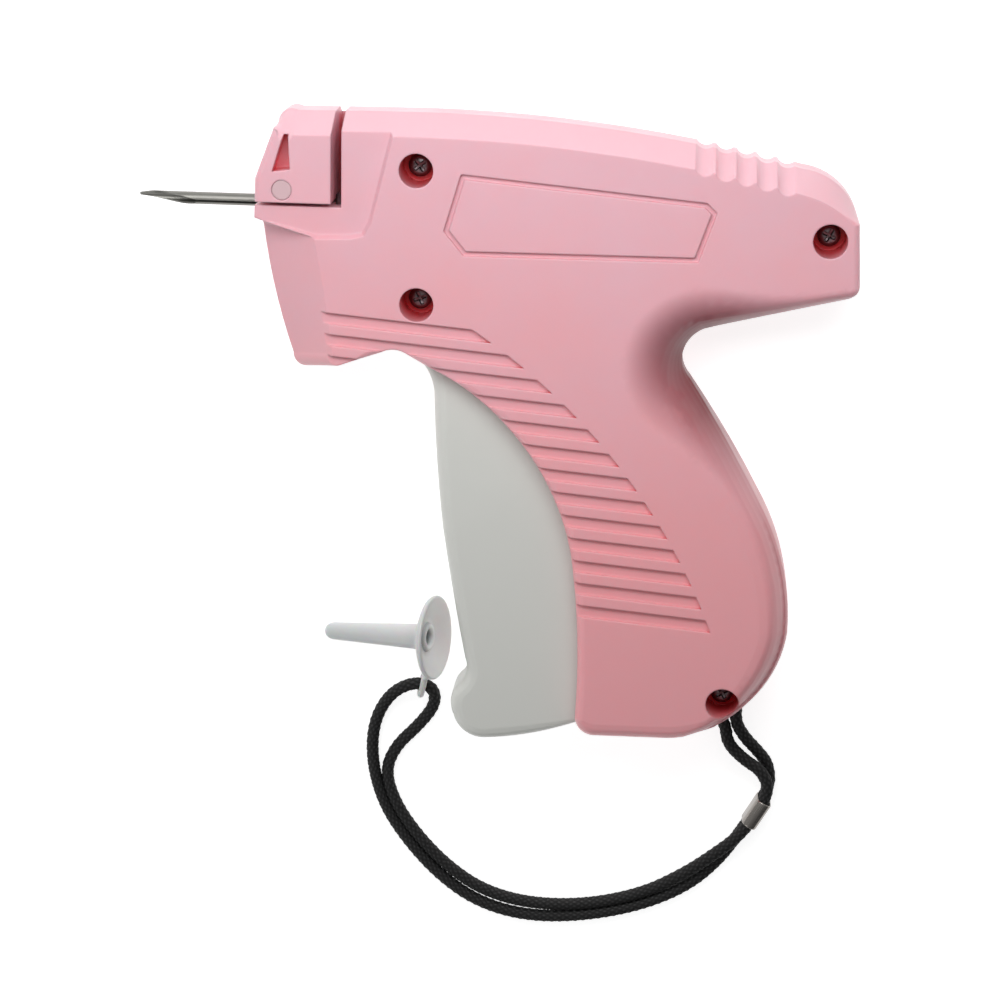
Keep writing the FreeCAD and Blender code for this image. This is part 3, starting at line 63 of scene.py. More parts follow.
# %% Camera at the photograph's place
LOOK_AT = Vector((2.8, -15.2, 20.0)) * MM
LEAN = Vector((0.072, 0.29, 1.0)).normalized()
DISTANCE = 624.0 * MM
ROLL = math.radians(-1.18)
LENS_MM = 93.6
SENSOR_MM = 36.0
NEAR_CLIP = 0.01


def place_camera():
    """Stands the camera off the aim point, leaning and rolled as the photographer held it."""
    up = (Vector((0, 1, 0)) - LEAN * LEAN.y).normalized()
    right = up.cross(LEAN)
    across = right * math.cos(ROLL) - up * math.sin(ROLL)
    upward = right * math.sin(ROLL) + up * math.cos(ROLL)
    data = bpy.data.cameras.new("camera")
    data.lens = LENS_MM
    data.sensor_width = SENSOR_MM
    data.clip_start = NEAR_CLIP
    camera = shown("camera", data)
    turn = Matrix((across, upward, LEAN)).transposed().to_4x4()
    camera.matrix_world = Matrix.Translation(LOOK_AT + LEAN * DISTANCE) @ turn
    bpy.context.scene.camera = camera
    return camera


camera = place_camera()
print("camera at", tuple(round(v, 3) for v in camera.location))

# %% [markdown]
# Colours are chosen as they look on a screen, in sRGB hex, and the renderer works with linear
# light, so one function turns them. The Standard view shows a surface's colour as it was
# chosen; Blender's own default view would wash out a pastel like this one.

# %% Helpers for materials
bpy.context.scene.view_settings.view_transform = "Standard"


def colour(hex_text):
    """An sRGB hex colour as linear red, green, blue and alpha."""
    parts = [int(hex_text[i:i + 2], 16) / 255 for i in (1, 3, 5)]
    return [p / 12.92 if p <= 0.04045 else ((p + 0.055) / 1.055) ** 2.4 for p in parts] + [1.0]


def add(tree, kind, inputs=None, **settings):
    """Adds a node; an input is a value, or an output of another node to link."""
    node = tree.nodes.new(kind)
    for key, value in settings.items():
        setattr(node, key, value)
    for key, value in (inputs or {}).items():
        if isinstance(value, bpy.types.NodeSocket):
            tree.links.new(value, node.inputs[key])
        else:
            node.inputs[key].default_value = value
    return node


def start_material(name, **surface):
    """A material with one shader; surface values go on the shader's own sockets."""
    material = bpy.data.materials.new(name)
    material.use_nodes = True
    tree = material.node_tree
    tree.nodes.clear()
    shader = add(tree, "ShaderNodeBsdfPrincipled", surface)
    output = add(tree, "ShaderNodeOutputMaterial")
    tree.links.new(shader.outputs[0], output.inputs["Surface"])
    place = add(tree, "ShaderNodeTexCoord").outputs["Object"]
    return material, tree, shader, place


def mixed(tree, factor, first, second):
    """A colour between two, by a factor output."""
    node = add(tree, "ShaderNodeMix", {"Factor": factor}, data_type="RGBA")
    for socket, value in ((node.inputs[6], first), (node.inputs[7], second)):
        if isinstance(value, bpy.types.NodeSocket):
            tree.links.new(value, socket)
        else:
            socket.default_value = value
    return node.outputs[2]


def clad(material, *names):
    """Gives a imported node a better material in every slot."""
    for name in names:
        slots = nodes[name].data.materials
        for index in range(len(slots)):
            slots[index] = material
        if not slots:
            slots.append(material)


# %% [markdown]
# The casing is injection-moulded ABS, dyed through. The eye sees a light satin skin: the mould
# was finely spark-eroded, so highlights are soft. Painted shade is laid into its colour: a warmer,
# deeper pink towards the heel, where the soft box's light falls off; a dark red over the round that
# the hand holds, where the light dies away; and red in slots and screw wells, standing for their
# shade and the light that bounces from wall to wall. Two attributes on the casing's meshes, made
# further down, say how near a place is to the hand's edge and how deep it lies in a well, and so
# where that painted shade goes. Every moulded edge is a little round: the Bevel node turns the
# shading normal along sharp edges, so each one catches a thin line of light. Use rubs the skin,
# which varies the roughness in broad soft patches.

# %% Moulded pink ABS
PINK = "#E3B1BC"
# Painted shade: a warmer, deeper pink painted towards the heel, where the soft box's light falls off.
PINK_HEEL_SHADE = "#EEA7AD"
# Painted shade: a dark red painted over the round that the hand holds.
ROUND_SHADE_RED = "#7C1622"
# Painted shade: a red painted into slots and recesses, standing for their shade and the light bounced between
# their walls.
RECESS_SHADE_RED = "#F03A46"
# Painted shade: a red painted into the screw wells, for their shade and the light glowing between their
# walls.
WELL_SHADE_RED = "#D8202C"
EDGE_ROUND = 0.6 * MM
MOTTLE_SIZE = 22 * MM
RUB_SIZE = 9 * MM
# Where the painted heel shade begins, and where it is full.
PALE_Y, HEEL_SHADE_Y = 50 * MM, -40 * MM
SLOT_REACH = 7 * MM


def moulded_abs(name, light, dark, deep, grain_mm, relief_mm, rough, glow=(1.0, 1.0, 1.0)):
    """Dyed ABS from a spark-eroded mould: faint mottle, fine grain, soft gloss, rounded edges, with painted
    shade towards the heel, over the hand's round and in recesses.
    """
    material, tree, shader, place = start_material(name, **{
        "IOR": 1.53, "Subsurface Weight": 0.2, "Subsurface Scale": 1.6 * MM, "Subsurface Radius": glow})
    mottle = add(tree, "ShaderNodeTexNoise", {"Vector": place, "Scale": 1 / MOTTLE_SIZE, "Detail": 3.0})
    height = add(tree, "ShaderNodeSeparateXYZ", {0: place})
    # Painted shade: lower down, towards the heel, the colour turns to the second, deeper one.
    heel_shade = add(tree, "ShaderNodeMapRange", {
        "Value": height.outputs["Y"], "From Min": PALE_Y, "From Max": HEEL_SHADE_Y,
        "To Min": -0.3, "To Max": 0.7}, clamp=False)
    share = add(tree, "ShaderNodeMath", {0: heel_shade.outputs[0], 1: mottle.outputs[0]},
                operation="ADD", use_clamp=True)
    tint = mixed(tree, share.outputs[0], colour(light), colour(dark))
    # Painted shade over the round that the hand holds, strongest at its edge.
    hand = add(tree, "ShaderNodeAttribute", attribute_name="round_shade", attribute_type="GEOMETRY")
    tint = mixed(tree, hand.outputs["Fac"], tint, colour(ROUND_SHADE_RED))
    # Painted shade in slots and recesses: where ambient occlusion finds the surface sheltered, the colour
    # turns to the deep one.
    open_sky = add(tree, "ShaderNodeAmbientOcclusion", {"Distance": SLOT_REACH}, samples=6, only_local=True)
    reach = add(tree, "ShaderNodeMapRange", {
        "Value": open_sky.outputs["AO"], "From Min": 0.05, "From Max": 0.28})
    tint = mixed(tree, reach.outputs[0], colour(deep), tint)
    # Painted shade and glow in the screw wells, fuller towards their floors.
    well = add(tree, "ShaderNodeAttribute", attribute_name="well_depth", attribute_type="GEOMETRY")
    soon = add(tree, "ShaderNodeMath", {0: well.outputs["Fac"], 1: 0.6}, operation="POWER")
    tree.links.new(mixed(tree, soon.outputs[0], tint, colour(WELL_SHADE_RED)), shader.inputs["Base Color"])
    rub = add(tree, "ShaderNodeTexNoise", {"Vector": place, "Scale": 1 / RUB_SIZE, "Detail": 4.0})
    gloss = add(tree, "ShaderNodeMapRange", {"Value": rub.outputs[0], "From Min": 0.3, "From Max": 0.7,
                                            "To Min": rough - 0.05, "To Max": rough + 0.06})
    tree.links.new(gloss.outputs[0], shader.inputs["Roughness"])
    grain = add(tree, "ShaderNodeTexNoise", {"Vector": place, "Scale": 1 / (grain_mm * MM), "Detail": 2.0})
    edge = add(tree, "ShaderNodeBevel", {"Radius": EDGE_ROUND}, samples=6)
    bump = add(tree, "ShaderNodeBump", {"Height": grain.outputs[0], "Strength": 0.3,
                                        "Distance": relief_mm * MM, "Normal": edge.outputs[0]})
    tree.links.new(bump.outputs[0], shader.inputs["Normal"])
    return material


pink_abs = moulded_abs("pink_abs_moulded", PINK, PINK_HEEL_SHADE, RECESS_SHADE_RED, 0.45, 0.02, 0.33, (1.0, 0.2, 0.24))
clad(pink_abs, "nose_cover", "needle_hub")
# The plug's colour carries the same painted shade: a little darker lower down, and deeper in recesses.
plug_abs = moulded_abs("greyish_pink_abs", "#D3B3B8", "#C4A4A9", "#A87C82", 0.4, 0.02, 0.38)
clad(plug_abs, "nose_plug")
print("pink ABS ready; on the nose cover and needle hub")

# %% [markdown]
# The trigger and the small lock lever are another dye of the same plastic, an off-white that
# leans grey. The hidden feed pieces are moulded in it too.

# %% Moulded off-white ABS
# The off-white carries the same painted shade: a little darker lower down, and grey in recesses.
white_abs = moulded_abs("off_white_abs", "#DBDCD7", "#D4D5D0", "#9C9C96", 0.5, 0.02, 0.33)
clad(white_abs, "trigger", "needle_lock_lever", "slide_block", "feed_wheel", "feed_link")
print("off-white ABS on the trigger, lock lever and feed")

# %% [markdown]
# The needle is drawn stainless tube, ground to a point, and the pins and rod are ground bar.
# Grinding leaves hair-fine lines along the metal, so the noise is stretched along X, and the
# roughness follows those lines. The metal keeps the default index of refraction.

# %% Ground steel
LINE_WIDTH = 0.25 * MM
LINE_STRETCH = 0.03


def ground_steel(name, shade, bright, rough, heading=0.0):
    """Bright steel with fine lines along its length, which has a heading on the table."""
    material, tree, shader, place = start_material(name, **{"Metallic": 1.0})
    turn = add(tree, "ShaderNodeMapping", {"Vector": place, "Rotation": (0, 0, -heading)})
    stretch = add(tree, "ShaderNodeMapping", {"Vector": turn.outputs[0], "Scale": (LINE_STRETCH, 1.0, 1.0)})
    lines = add(tree, "ShaderNodeTexNoise", {"Vector": stretch.outputs[0], "Scale": 1 / LINE_WIDTH,
                                             "Detail": 3.0})
    gloss = add(tree, "ShaderNodeMapRange", {"Value": lines.outputs[0], "To Min": rough - 0.08,
                                             "To Max": rough + 0.1})
    tree.links.new(gloss.outputs[0], shader.inputs["Roughness"])
    tree.links.new(mixed(tree, lines.outputs[0], colour(shade), colour(bright)), shader.inputs["Base Color"])
    bump = add(tree, "ShaderNodeBump", {"Height": lines.outputs[0], "Strength": 0.2, "Distance": 0.01 * MM})
    tree.links.new(bump.outputs[0], shader.inputs["Normal"])
    return material


needle_steel = ground_steel("ground_stainless_steel", "#7A7974", "#9D9C97", 0.46)
clad(needle_steel, "cutter_blade", "push_rod", "trigger_pin", "lever_pin", "feed_axle",
     "slide_pin", "trigger_roller_pin", "link_pin", "drive_lever", "return_spring", "detent_spring")
print("ground steel on the pins, levers and springs")

# %% [markdown]
# The lanyard is a 3 mm braided nylon cord. Its way over the table is one smooth NURBS line that
# follows the solid cord closely: out of the grip, through the ferrule, round in a wide loop to
# the eyelet of the needle cap, and back beside and over itself. Each row of the list holds two
# shares, of the casing's length and height, and a height over the table in cord diameters.

# %% The cord's line
BODY_LENGTH = 140.7 * MM
FULL_HEIGHT = 154.0 * MM
NEEDLE_REACH = 29.6 * MM
CORD = 3.0 * MM
NOSE_X = (NEEDLE_REACH - BODY_LENGTH) / 2
FLOOR_Y = -FULL_HEIGHT / 2
EXIT_RISE = 4.4 * MM
LEAD = 1.7 * CORD
POST_LOOP = 5.05 * MM

CORD_ROUTE_SHARES = [
    (0.851, -0.013, 1.27), (0.878, -0.040, 0.93), (0.898, -0.064, 0.74), (0.903, -0.106, 0.70),
    (0.857, -0.181, 0.70), (0.815, -0.242, 0.57), (0.757, -0.293, 0.53), (0.669, -0.332, 0.53),
    (0.561, -0.355, 0.53), (0.462, -0.358, 0.53), (0.376, -0.336, 0.53), (0.307, -0.291, 0.53),
    (0.248, -0.231, 0.53), (0.204, -0.168, 0.53), (0.182, -0.095, 0.53), (0.184, -0.025, 0.60),
    (0.213, 0.030, 1.00), (0.257, 0.058, 1.70), (0.293, 0.051, 1.53), (0.298, 0.016, 0.80),
    (0.268, -0.024, 0.53), (0.225, -0.064, 0.53), (0.206, -0.110, 0.53), (0.226, -0.168, 0.53),
    (0.270, -0.226, 0.53), (0.326, -0.278, 0.53), (0.391, -0.317, 0.53), (0.476, -0.336, 0.53),
    (0.578, -0.333, 0.53), (0.680, -0.307, 0.62), (0.752, -0.266, 0.95), (0.800, -0.229, 1.40),
    (0.857, -0.181, 1.77), (0.903, -0.106, 1.77), (0.887, -0.069, 1.73), (0.854, -0.052, 1.57),
    (0.822, -0.024, 1.50),
]


def at(length_share, height_share, z):
    """A place from its shares of the casing's length and height."""
    return Vector((NOSE_X + length_share * BODY_LENGTH, FLOOR_Y + height_share * FULL_HEIGHT, z))


exits = [at(0.837, 0.052, EXIT_RISE), at(0.800, 0.037, EXIT_RISE)]
post = at(0.807, 0.093, EXIT_RISE)
inner = [post + POST_LOOP * Vector(offset) for offset in
         ((1, -0.1, 0), (0.95, 0.95, 0), (-0.95, 0.95, 0), (-1, -0.3, 0))]
route = [at(u, v, w * CORD) for u, v, w in CORD_ROUTE_SHARES]
leads = [exits[0] + (exits[0] - inner[0]).normalized() * LEAD,
         exits[1] + (exits[1] - inner[-1]).normalized() * LEAD]
cord_points = [exits[0], leads[0]] + route + [leads[1], exits[1]]


def smooth_line(name, points):
    """A curve object of one open NURBS spline through the route."""
    data = bpy.data.curves.new(name, "CURVE")
    data.dimensions = "3D"
    data.twist_mode = "MINIMUM"
    spline = data.splines.new("NURBS")
    spline.points.add(len(points) - 1)
    for point, place in zip(spline.points, points):
        point.co = (*place, 1.0)
    spline.order_u = 3
    spline.use_endpoint_u = True
    spline.resolution_u = 24
    return shown(name, data)


def line_points(line):
    """The points of a curve's own line, as the curve itself makes them."""
    state = bpy.context.evaluated_depsgraph_get()
    mesh = bpy.data.meshes.new_from_object(line.evaluated_get(state), depsgraph=state)
    return [vertex.co.copy() for vertex in mesh.vertices]


cord_line = smooth_line("cord_line", cord_points)
cord_path = line_points(cord_line)
measured = sum((b - a).length for a, b in zip(cord_path, cord_path[1:]))
print("cord line:", len(cord_path), "points,", round(measured, 4), "m")

# %% [markdown]
# Braided cord has a rule: eight yarns wind one way and eight the other, each passing over one
# and under the next. So the braid can be grown rather than drawn. The helpers start a Geometry
# Nodes tree with one named input for each size, and turn what it makes into a plain mesh.

# %% Helpers for Geometry Nodes


def start_nodes(name, sizes):
    """A Geometry Nodes tree with a named input for each size, and its input node."""
    tree = bpy.data.node_groups.new(name, "GeometryNodeTree")
    tree.interface.new_socket("Geometry", in_out="INPUT", socket_type="NodeSocketGeometry")
    for size, value in sizes.items():
        kind = "NodeSocketInt" if isinstance(value, int) else "NodeSocketFloat"
        tree.interface.new_socket(size, in_out="INPUT", socket_type=kind)
    tree.interface.new_socket("Geometry", in_out="OUTPUT", socket_type="NodeSocketGeometry")
    return tree, add(tree, "NodeGroupInput").outputs


def maths(tree, operation, *values):
    """One step of arithmetic in a tree."""
    return add(tree, "ShaderNodeMath", dict(enumerate(values)), operation=operation).outputs[0]


def finish_nodes(tree, geometry, material):
    """Ends a tree: real geometry instead of instances, one material, then the output."""
    real = add(tree, "GeometryNodeRealizeInstances", {0: geometry})
    coated = add(tree, "GeometryNodeSetMaterial", {"Geometry": real.outputs[0], "Material": material})
    add(tree, "NodeGroupOutput", {0: coated.outputs[0]})


def grown(host, tree, sizes, name):
    """Runs a tree on a host object and keeps the result as a plain mesh object."""
    modifier = host.modifiers.new(tree.name, "NODES")
    modifier.node_group = tree
    for item in tree.interface.items_tree:
        if item.in_out == "INPUT" and item.name in sizes:
            modifier[item.identifier] = sizes[item.name]
    state = bpy.context.evaluated_depsgraph_get()
    mesh = bpy.data.meshes.new_from_object(host.evaluated_get(state), preserve_all_data_layers=True,
                                           depsgraph=state)
    host.modifiers.remove(modifier)
    bpy.data.objects.remove(host)
    mesh.name = name
    piece = shown(name, mesh)
    print(name + ":", len(mesh.polygons), "faces")
    return piece


# %% [markdown]
# Nylon yarn is spun from bright filaments and dyed black. Light runs along each yarn where it
# lies on top and is lost where it dives, so the braid's own height, kept on the mesh by the
# tree below, drives a painted sheen on the crowns and painted shade where the yarns dive, and
# fine noise stands for the filaments.

# %% Braided nylon
FIBRE_SIZE = 0.3 * MM


def braided_nylon():
    """Black nylon braid: a dull shine and a painted sheen on the yarns' crowns, painted shade where they
    cross.
    """
    material, tree, shader, place = start_material("braided_nylon", **{"IOR": 1.5})
    yarn = add(tree, "ShaderNodeAttribute", attribute_name="yarn").outputs["Fac"]
    fibre = add(tree, "ShaderNodeTexNoise", {"Vector": place, "Scale": 1 / FIBRE_SIZE, "Detail": 4.0})
    # Painted sheen on the crowns and painted shade where the yarns dive; the fibre noise between the two lit
    # colours is the yarn's own tone.
    crown = add(tree, "ShaderNodeMapRange", {"Value": yarn, "From Min": 0.6, "From Max": 1.0})
    lit = mixed(tree, fibre.outputs[0], colour("#131314"), colour("#38383A"))
    tree.links.new(mixed(tree, crown.outputs[0], colour("#030303"), lit), shader.inputs["Base Color"])
    dull = add(tree, "ShaderNodeMapRange", {"Value": yarn, "To Min": 0.9, "To Max": 0.55})
    tree.links.new(dull.outputs[0], shader.inputs["Roughness"])
    bump = add(tree, "ShaderNodeBump", {"Height": fibre.outputs[0], "Strength": 0.4, "Distance": 0.05 * MM})
    tree.links.new(bump.outputs[0], shader.inputs["Normal"])
    return material


nylon = braided_nylon()
print("material:", nylon.name)

# %% [markdown]
# The tree walks along the line in short steps and sweeps a round section. Each point of the
# tube knows how far along and how far round it is. From these two come the places across the
# yarns of both windings; the sign of the product of their sines says which winding is on top,
# and the sines' sizes make each visible crown a rounded cushion, longer along its yarn.

# %% The braid, grown along a line
BRAID = {"Diameter": 1.07 * CORD, "Step": 0.30 * MM, "Sides": 32, "Yarns": 8.0, "Lay": 16.0 * MM,
         "Relief": 0.32 * MM}


def braid_tree():
    """A tube along the host curve, with the crossing yarns of a plain braid."""
    tree, size = start_nodes("braid", BRAID)
    steps = add(tree, "GeometryNodeResampleCurve", {"Curve": size["Geometry"], "Length": size["Step"]},
                mode="LENGTH")
    reach = add(tree, "GeometryNodeSplineParameter").outputs["Length"]
    spine = add(tree, "GeometryNodeStoreNamedAttribute", {
        "Geometry": steps.outputs[0], "Name": "along", "Value": reach}, data_type="FLOAT", domain="POINT")
    ring = add(tree, "GeometryNodeCurvePrimitiveCircle", {
        "Resolution": size["Sides"], "Radius": maths(tree, "MULTIPLY", size["Diameter"], 0.5)})
    turn = maths(tree, "DIVIDE", add(tree, "GeometryNodeInputIndex").outputs[0], size["Sides"])
    section = add(tree, "GeometryNodeStoreNamedAttribute", {
        "Geometry": ring.outputs[0], "Name": "around", "Value": turn}, data_type="FLOAT", domain="POINT")
    tube = add(tree, "GeometryNodeCurveToMesh", {
        "Curve": spine.outputs[0], "Profile Curve": section.outputs[0], "Fill Caps": True})
    along, around = [
        add(tree, "GeometryNodeInputNamedAttribute", {"Name": name}, data_type="FLOAT").outputs[0]
        for name in ("along", "around")]
    laid = maths(tree, "DIVIDE", along, size["Lay"])
    waves = []
    for way in ("ADD", "SUBTRACT"):
        across = maths(tree, "MULTIPLY", maths(tree, way, around, laid), size["Yarns"])
        waves.append(maths(tree, "SINE", maths(tree, "MULTIPLY", across, math.pi)))
    over = maths(tree, "GREATER_THAN", maths(tree, "MULTIPLY", waves[0], waves[1]), 0.0)
    sizes = [maths(tree, "ABSOLUTE", wave) for wave in waves]
    crowns = [maths(tree, "MULTIPLY", maths(tree, "POWER", wide, 0.8), maths(tree, "POWER", long, 0.35))
              for wide, long in (sizes, sizes[::-1])]
    height = add(tree, "ShaderNodeMix", {0: over, 2: crowns[0], 3: crowns[1]}, data_type="FLOAT").outputs[0]
    sink = maths(tree, "MULTIPLY", maths(tree, "SUBTRACT", height, 1.0), size["Relief"])
    move = add(tree, "ShaderNodeVectorMath", {
        0: add(tree, "GeometryNodeInputNormal").outputs[0], "Scale": sink}, operation="SCALE")
    laid_yarns = add(tree, "GeometryNodeStoreNamedAttribute", {
        "Geometry": tube.outputs[0], "Name": "yarn", "Value": height}, data_type="FLOAT", domain="POINT")
    sunk = add(tree, "GeometryNodeSetPosition", {
        "Geometry": laid_yarns.outputs[0], "Offset": move.outputs[0]})
    smooth = add(tree, "GeometryNodeSetShadeSmooth", {"Geometry": sunk.outputs[0]})
    finish_nodes(tree, smooth.outputs[0], nylon)
    return tree


braid = braid_tree()
lanyard = grown(cord_line, braid, BRAID, "braided_lanyard")
anchor = grown(smooth_line("anchor_line", [exits[0]] + inner + [exits[1]]), braid, BRAID, "lanyard_root_loop")

# %% [markdown]
# Turned and moulded shapes are skins over a row of rings. One helper takes the rings, closes
# poles and seams, turns the faces outwards and keeps edges sharp only where the skin really
# folds. Another gives the angles of even steps round a circle.

# %% Helpers for ringed shapes
CREASE = math.radians(40)
WELD = 0.0001 * MM


def turns(count):
    """The angles of even steps round a circle."""
    return [math.tau * step / count for step in range(count)]


def skinned(name, rings, material, closed=False):
    """A smooth mesh over rings of points; a ring of no size becomes a pole."""
    shape = bmesh.new()
    rows = [[shape.verts.new(place) for place in ring] for ring in rings]
    pairs = list(zip(rows, rows[1:])) + ([(rows[-1], rows[0])] if closed else [])
    for low, high in pairs:
        for index in range(len(low)):
            after = (index + 1) % len(low)
            shape.faces.new((low[index], low[after], high[after], high[index]))
    bmesh.ops.remove_doubles(shape, verts=shape.verts, dist=WELD)
    bmesh.ops.recalc_face_normals(shape, faces=shape.faces)
    mesh = bpy.data.meshes.new(name)
    shape.to_mesh(mesh)
    shape.free()
    mesh.shade_smooth()
    mesh.set_sharp_from_angle(angle=CREASE)
    mesh.materials.append(material)
    piece = shown(name, mesh)
    print(name + ":", len(mesh.polygons), "faces")
    return piece


# %% [markdown]
# The web of the hand sits in a deep, soft hollow: there the real casing's edge is rounded ever
# more broadly, up to 14 mm in from its outline, and the light dies away over it. The packed
# halves have a plain round, so each half is copied, its triangles there are cut small, and the
# copy is pressed towards the parting plane by a rule: a guide line along the edge carries how
# far in the round reaches, and the press fades to nothing at that distance.

# %% The casing halves with their soft hollow
PART_Z = 13.0 * MM
SIDE_Z = 2 * PART_Z
WELL_FLOOR = 15.6 * MM
WELL_REACH = 4.2 * MM
SCREW_SHARES = [(0.269, 0.918), (0.272, 0.714), (0.948, 0.832), (0.807, 0.093)]
SCREW_PLACES = [at(u, v, WELL_FLOOR) for u, v in SCREW_SHARES]
PRESS_SHARE = 0.68
PRESS_BEND = 2.2
# How the painted shade over the hand's round grows towards its edge, and the round's reach at which it is
# full.
DARK_BEND = 0.9
FULL_DARK_REACH = 10 * MM
MEND_GAP = 0.001 * MM
CUT_EDGE = 2.2 * MM
CUT_ROUNDS = 6
SLOPE_STEP = 0.4 * MM
GUIDE_POINTS = 49
GUIDE_ROUNDS = 4

# Shares of the casing's length and height along the hand's edge, from the rear to the heel, and
# how far in the round reaches there, in mm
HAND_EDGE = [
    (0.990, 0.744, 2.5), (0.900, 0.720, 4.5), (0.820, 0.699, 8.0), (0.750, 0.681, 12.5),
    (0.722, 0.655, 14.0), (0.715, 0.638, 14.0), (0.718, 0.620, 14.0), (0.730, 0.600, 13.0),
    (0.760, 0.560, 10.0), (0.800, 0.501, 6.5), (0.830, 0.455, 4.5), (0.853, 0.416, 3.5),
    (0.899, 0.316, 3.5), (0.914, 0.203, 4.0), (0.880, 0.114, 4.5), (0.797, 0.045, 3.5),
    (0.752, 0.030, 2.0),
]


def guide_line():
    """The hand's edge as an even, smoothed row of x, y and reach."""
    marks = np.array([(*at(u, v, 0.0).xy, reach * MM) for u, v, reach in HAND_EDGE])
    spread = np.linspace(0, len(marks) - 1, GUIDE_POINTS)
    line = np.stack([np.interp(spread, range(len(marks)), marks[:, i]) for i in range(3)], axis=1)
    for smoothing in range(GUIDE_ROUNDS):
        line[1:-1] = (line[:-2] + 2 * line[1:-1] + line[2:]) / 4
    return line


guide = guide_line()


def edge_fade(places):
    """How near each place is to the hand's edge, and the round's reach there.

    Nearness is 1 on the edge and 0 where the round has run out.
    """
    fade = np.zeros(len(places))
    reach_there = np.zeros(len(places))
    for start, end in zip(guide, guide[1:]):
        way = end[:2] - start[:2]
        share = np.clip((places[:, :2] - start[:2]) @ way / (way @ way), 0, 1)
        foot = start[:2] + share[:, None] * way
        reach = start[2] + share * (end[2] - start[2])
        here = 1 - np.linalg.norm(places[:, :2] - foot, axis=1) / reach
        nearer = here > fade
        fade[nearer] = here[nearer]
        reach_there[nearer] = reach[nearer]
    return fade, reach_there


def places_of(vertices):
    """The places of vertices as an array."""
    return np.array([vertex.co for vertex in vertices]).reshape(-1, 3)


def kept_height(places):
    """The share of its height over the parting plane that each place keeps."""
    fade, reach = edge_fade(places)
    return 1 - PRESS_SHARE * reach / PART_Z * fade ** PRESS_BEND


def slope(places, axis):
    """How fast the kept share changes along one axis at each place."""
    step = np.zeros(3)
    step[axis] = SLOPE_STEP
    return (kept_height(places + step) - kept_height(places - step)) / (2 * SLOPE_STEP)


def cut_fine(shape):
    """Cuts the long edges near the hand's edge in two until they are short."""
    for cut in range(CUT_ROUNDS):
        shape.verts.ensure_lookup_table()
        near = edge_fade(places_of(shape.verts))[0] > 0
        middles = edge_fade(np.array([(e.verts[0].co + e.verts[1].co) / 2 for e in shape.edges]))[0] > 0
        shape.verts.index_update()
        long_edges = [edge for edge, middle in zip(shape.edges, middles) if edge.calc_length() > CUT_EDGE
                      and (middle or near[edge.verts[0].index] or near[edge.verts[1].index])]
        if not long_edges:
            break
        bmesh.ops.subdivide_edges(shape, edges=long_edges, cuts=1)
        bmesh.ops.triangulate(shape, faces=[face for face in shape.faces if len(face.verts) > 3])


def turned_normals(mesh, places, share):
    """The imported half's corner normals, turned as the press turns the surface."""
    corner = np.array([loop.vertex_index for loop in mesh.loops])
    normals = np.array([item.vector for item in mesh.attributes["packed_normal"].data])
    upright = normals[:, 2] / share[corner]
    height = places[corner, 2] - PART_Z
    normals[:, 0] -= height * slope(places, 0)[corner] * upright
    normals[:, 1] -= height * slope(places, 1)[corner] * upright
    normals[:, 2] = upright
    return normals / np.linalg.norm(normals, axis=1, keepdims=True)


def well_depth(places):
    """How deep each place lies in a screw well: 0 at its rim or outside it, 1 on its floor."""
    from_axes = [np.linalg.norm(places[:, :2] - np.array(seat.xy), axis=1) for seat in SCREW_PLACES]
    sunk = np.clip((SIDE_Z - places[:, 2]) / (SIDE_Z - WELL_FLOOR), 0, 1)
    return np.where(np.min(from_axes, axis=0) < WELL_REACH, sunk, 0.0)


def casing_half(node, name):
    """A copy of a packed half, cut finer along the hand's edge and pressed round there.

    The half's own corner normals go along as an attribute, and turn with the press.
    """
    packed = nodes[node].data.copy()
    kept = packed.attributes.new("packed_normal", "FLOAT_VECTOR", "CORNER")
    kept.data.foreach_set("vector", np.array([normal.vector for normal in packed.corner_normals]).ravel())
    shape = bmesh.new()
    shape.from_mesh(packed)
    bpy.data.meshes.remove(packed)
    bmesh.ops.remove_doubles(shape, verts=shape.verts, dist=MEND_GAP)
    cut_fine(shape)
    mesh = bpy.data.meshes.new(name)
    shape.to_mesh(mesh)
    shape.free()
    places = places_of(mesh.vertices)
    share = kept_height(places)
    normals = turned_normals(mesh, places, share)
    fade, reach = edge_fade(places)
    # Painted shade over the hand's round: fullest on the edge, and weaker where the round is narrow.
    dark = fade ** DARK_BEND * np.clip(reach / FULL_DARK_REACH, 0.4, 1)
    for attribute, values in (("round_shade", dark), ("well_depth", well_depth(places))):
        mesh.attributes.new(attribute, "FLOAT", "POINT").data.foreach_set("value", values)
    places[:, 2] = PART_Z + (places[:, 2] - PART_Z) * share
    mesh.vertices.foreach_set("co", places.ravel())
    mesh.attributes.remove(mesh.attributes["packed_normal"])
    mesh.shade_smooth()
    mesh.normals_split_custom_set(normals.tolist())
    mesh.materials.append(pink_abs)
    half = shown(name, mesh)
    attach(half, "casing")
    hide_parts(node)
    print(name + ":", len(mesh.polygons), "triangles")


casing_half("left_shell", "casing_left")
casing_half("right_shell", "casing_right")

# %% [markdown]
# The needle is a steel tube slit along its upper side, so that a fastener's thread can leave it,
# and ground away on one side to a long scoop with a sharp point. It is a row of C-shaped rings
# whose arc grows shorter towards the point.

# %% The slit needle
NEEDLE_Y = FLOOR_Y + 0.8526 * FULL_HEIGHT
NEEDLE_RADIUS = 1.45 * MM
NEEDLE_BORE = 1.0 * MM
SCOOP = 14.0 * MM
SCOOP_RINGS = 28
ARC_POINTS = 24
HUB_BACK = NOSE_X + 16.2 * MM

# The wall's two edges, in degrees round the needle from +Y towards +Z: along the tube, and at
# the point, where only a sliver of the far wall is left
TUBE_EDGES = (124.0, 460.0)
POINT_EDGES = (282.0, 318.0)


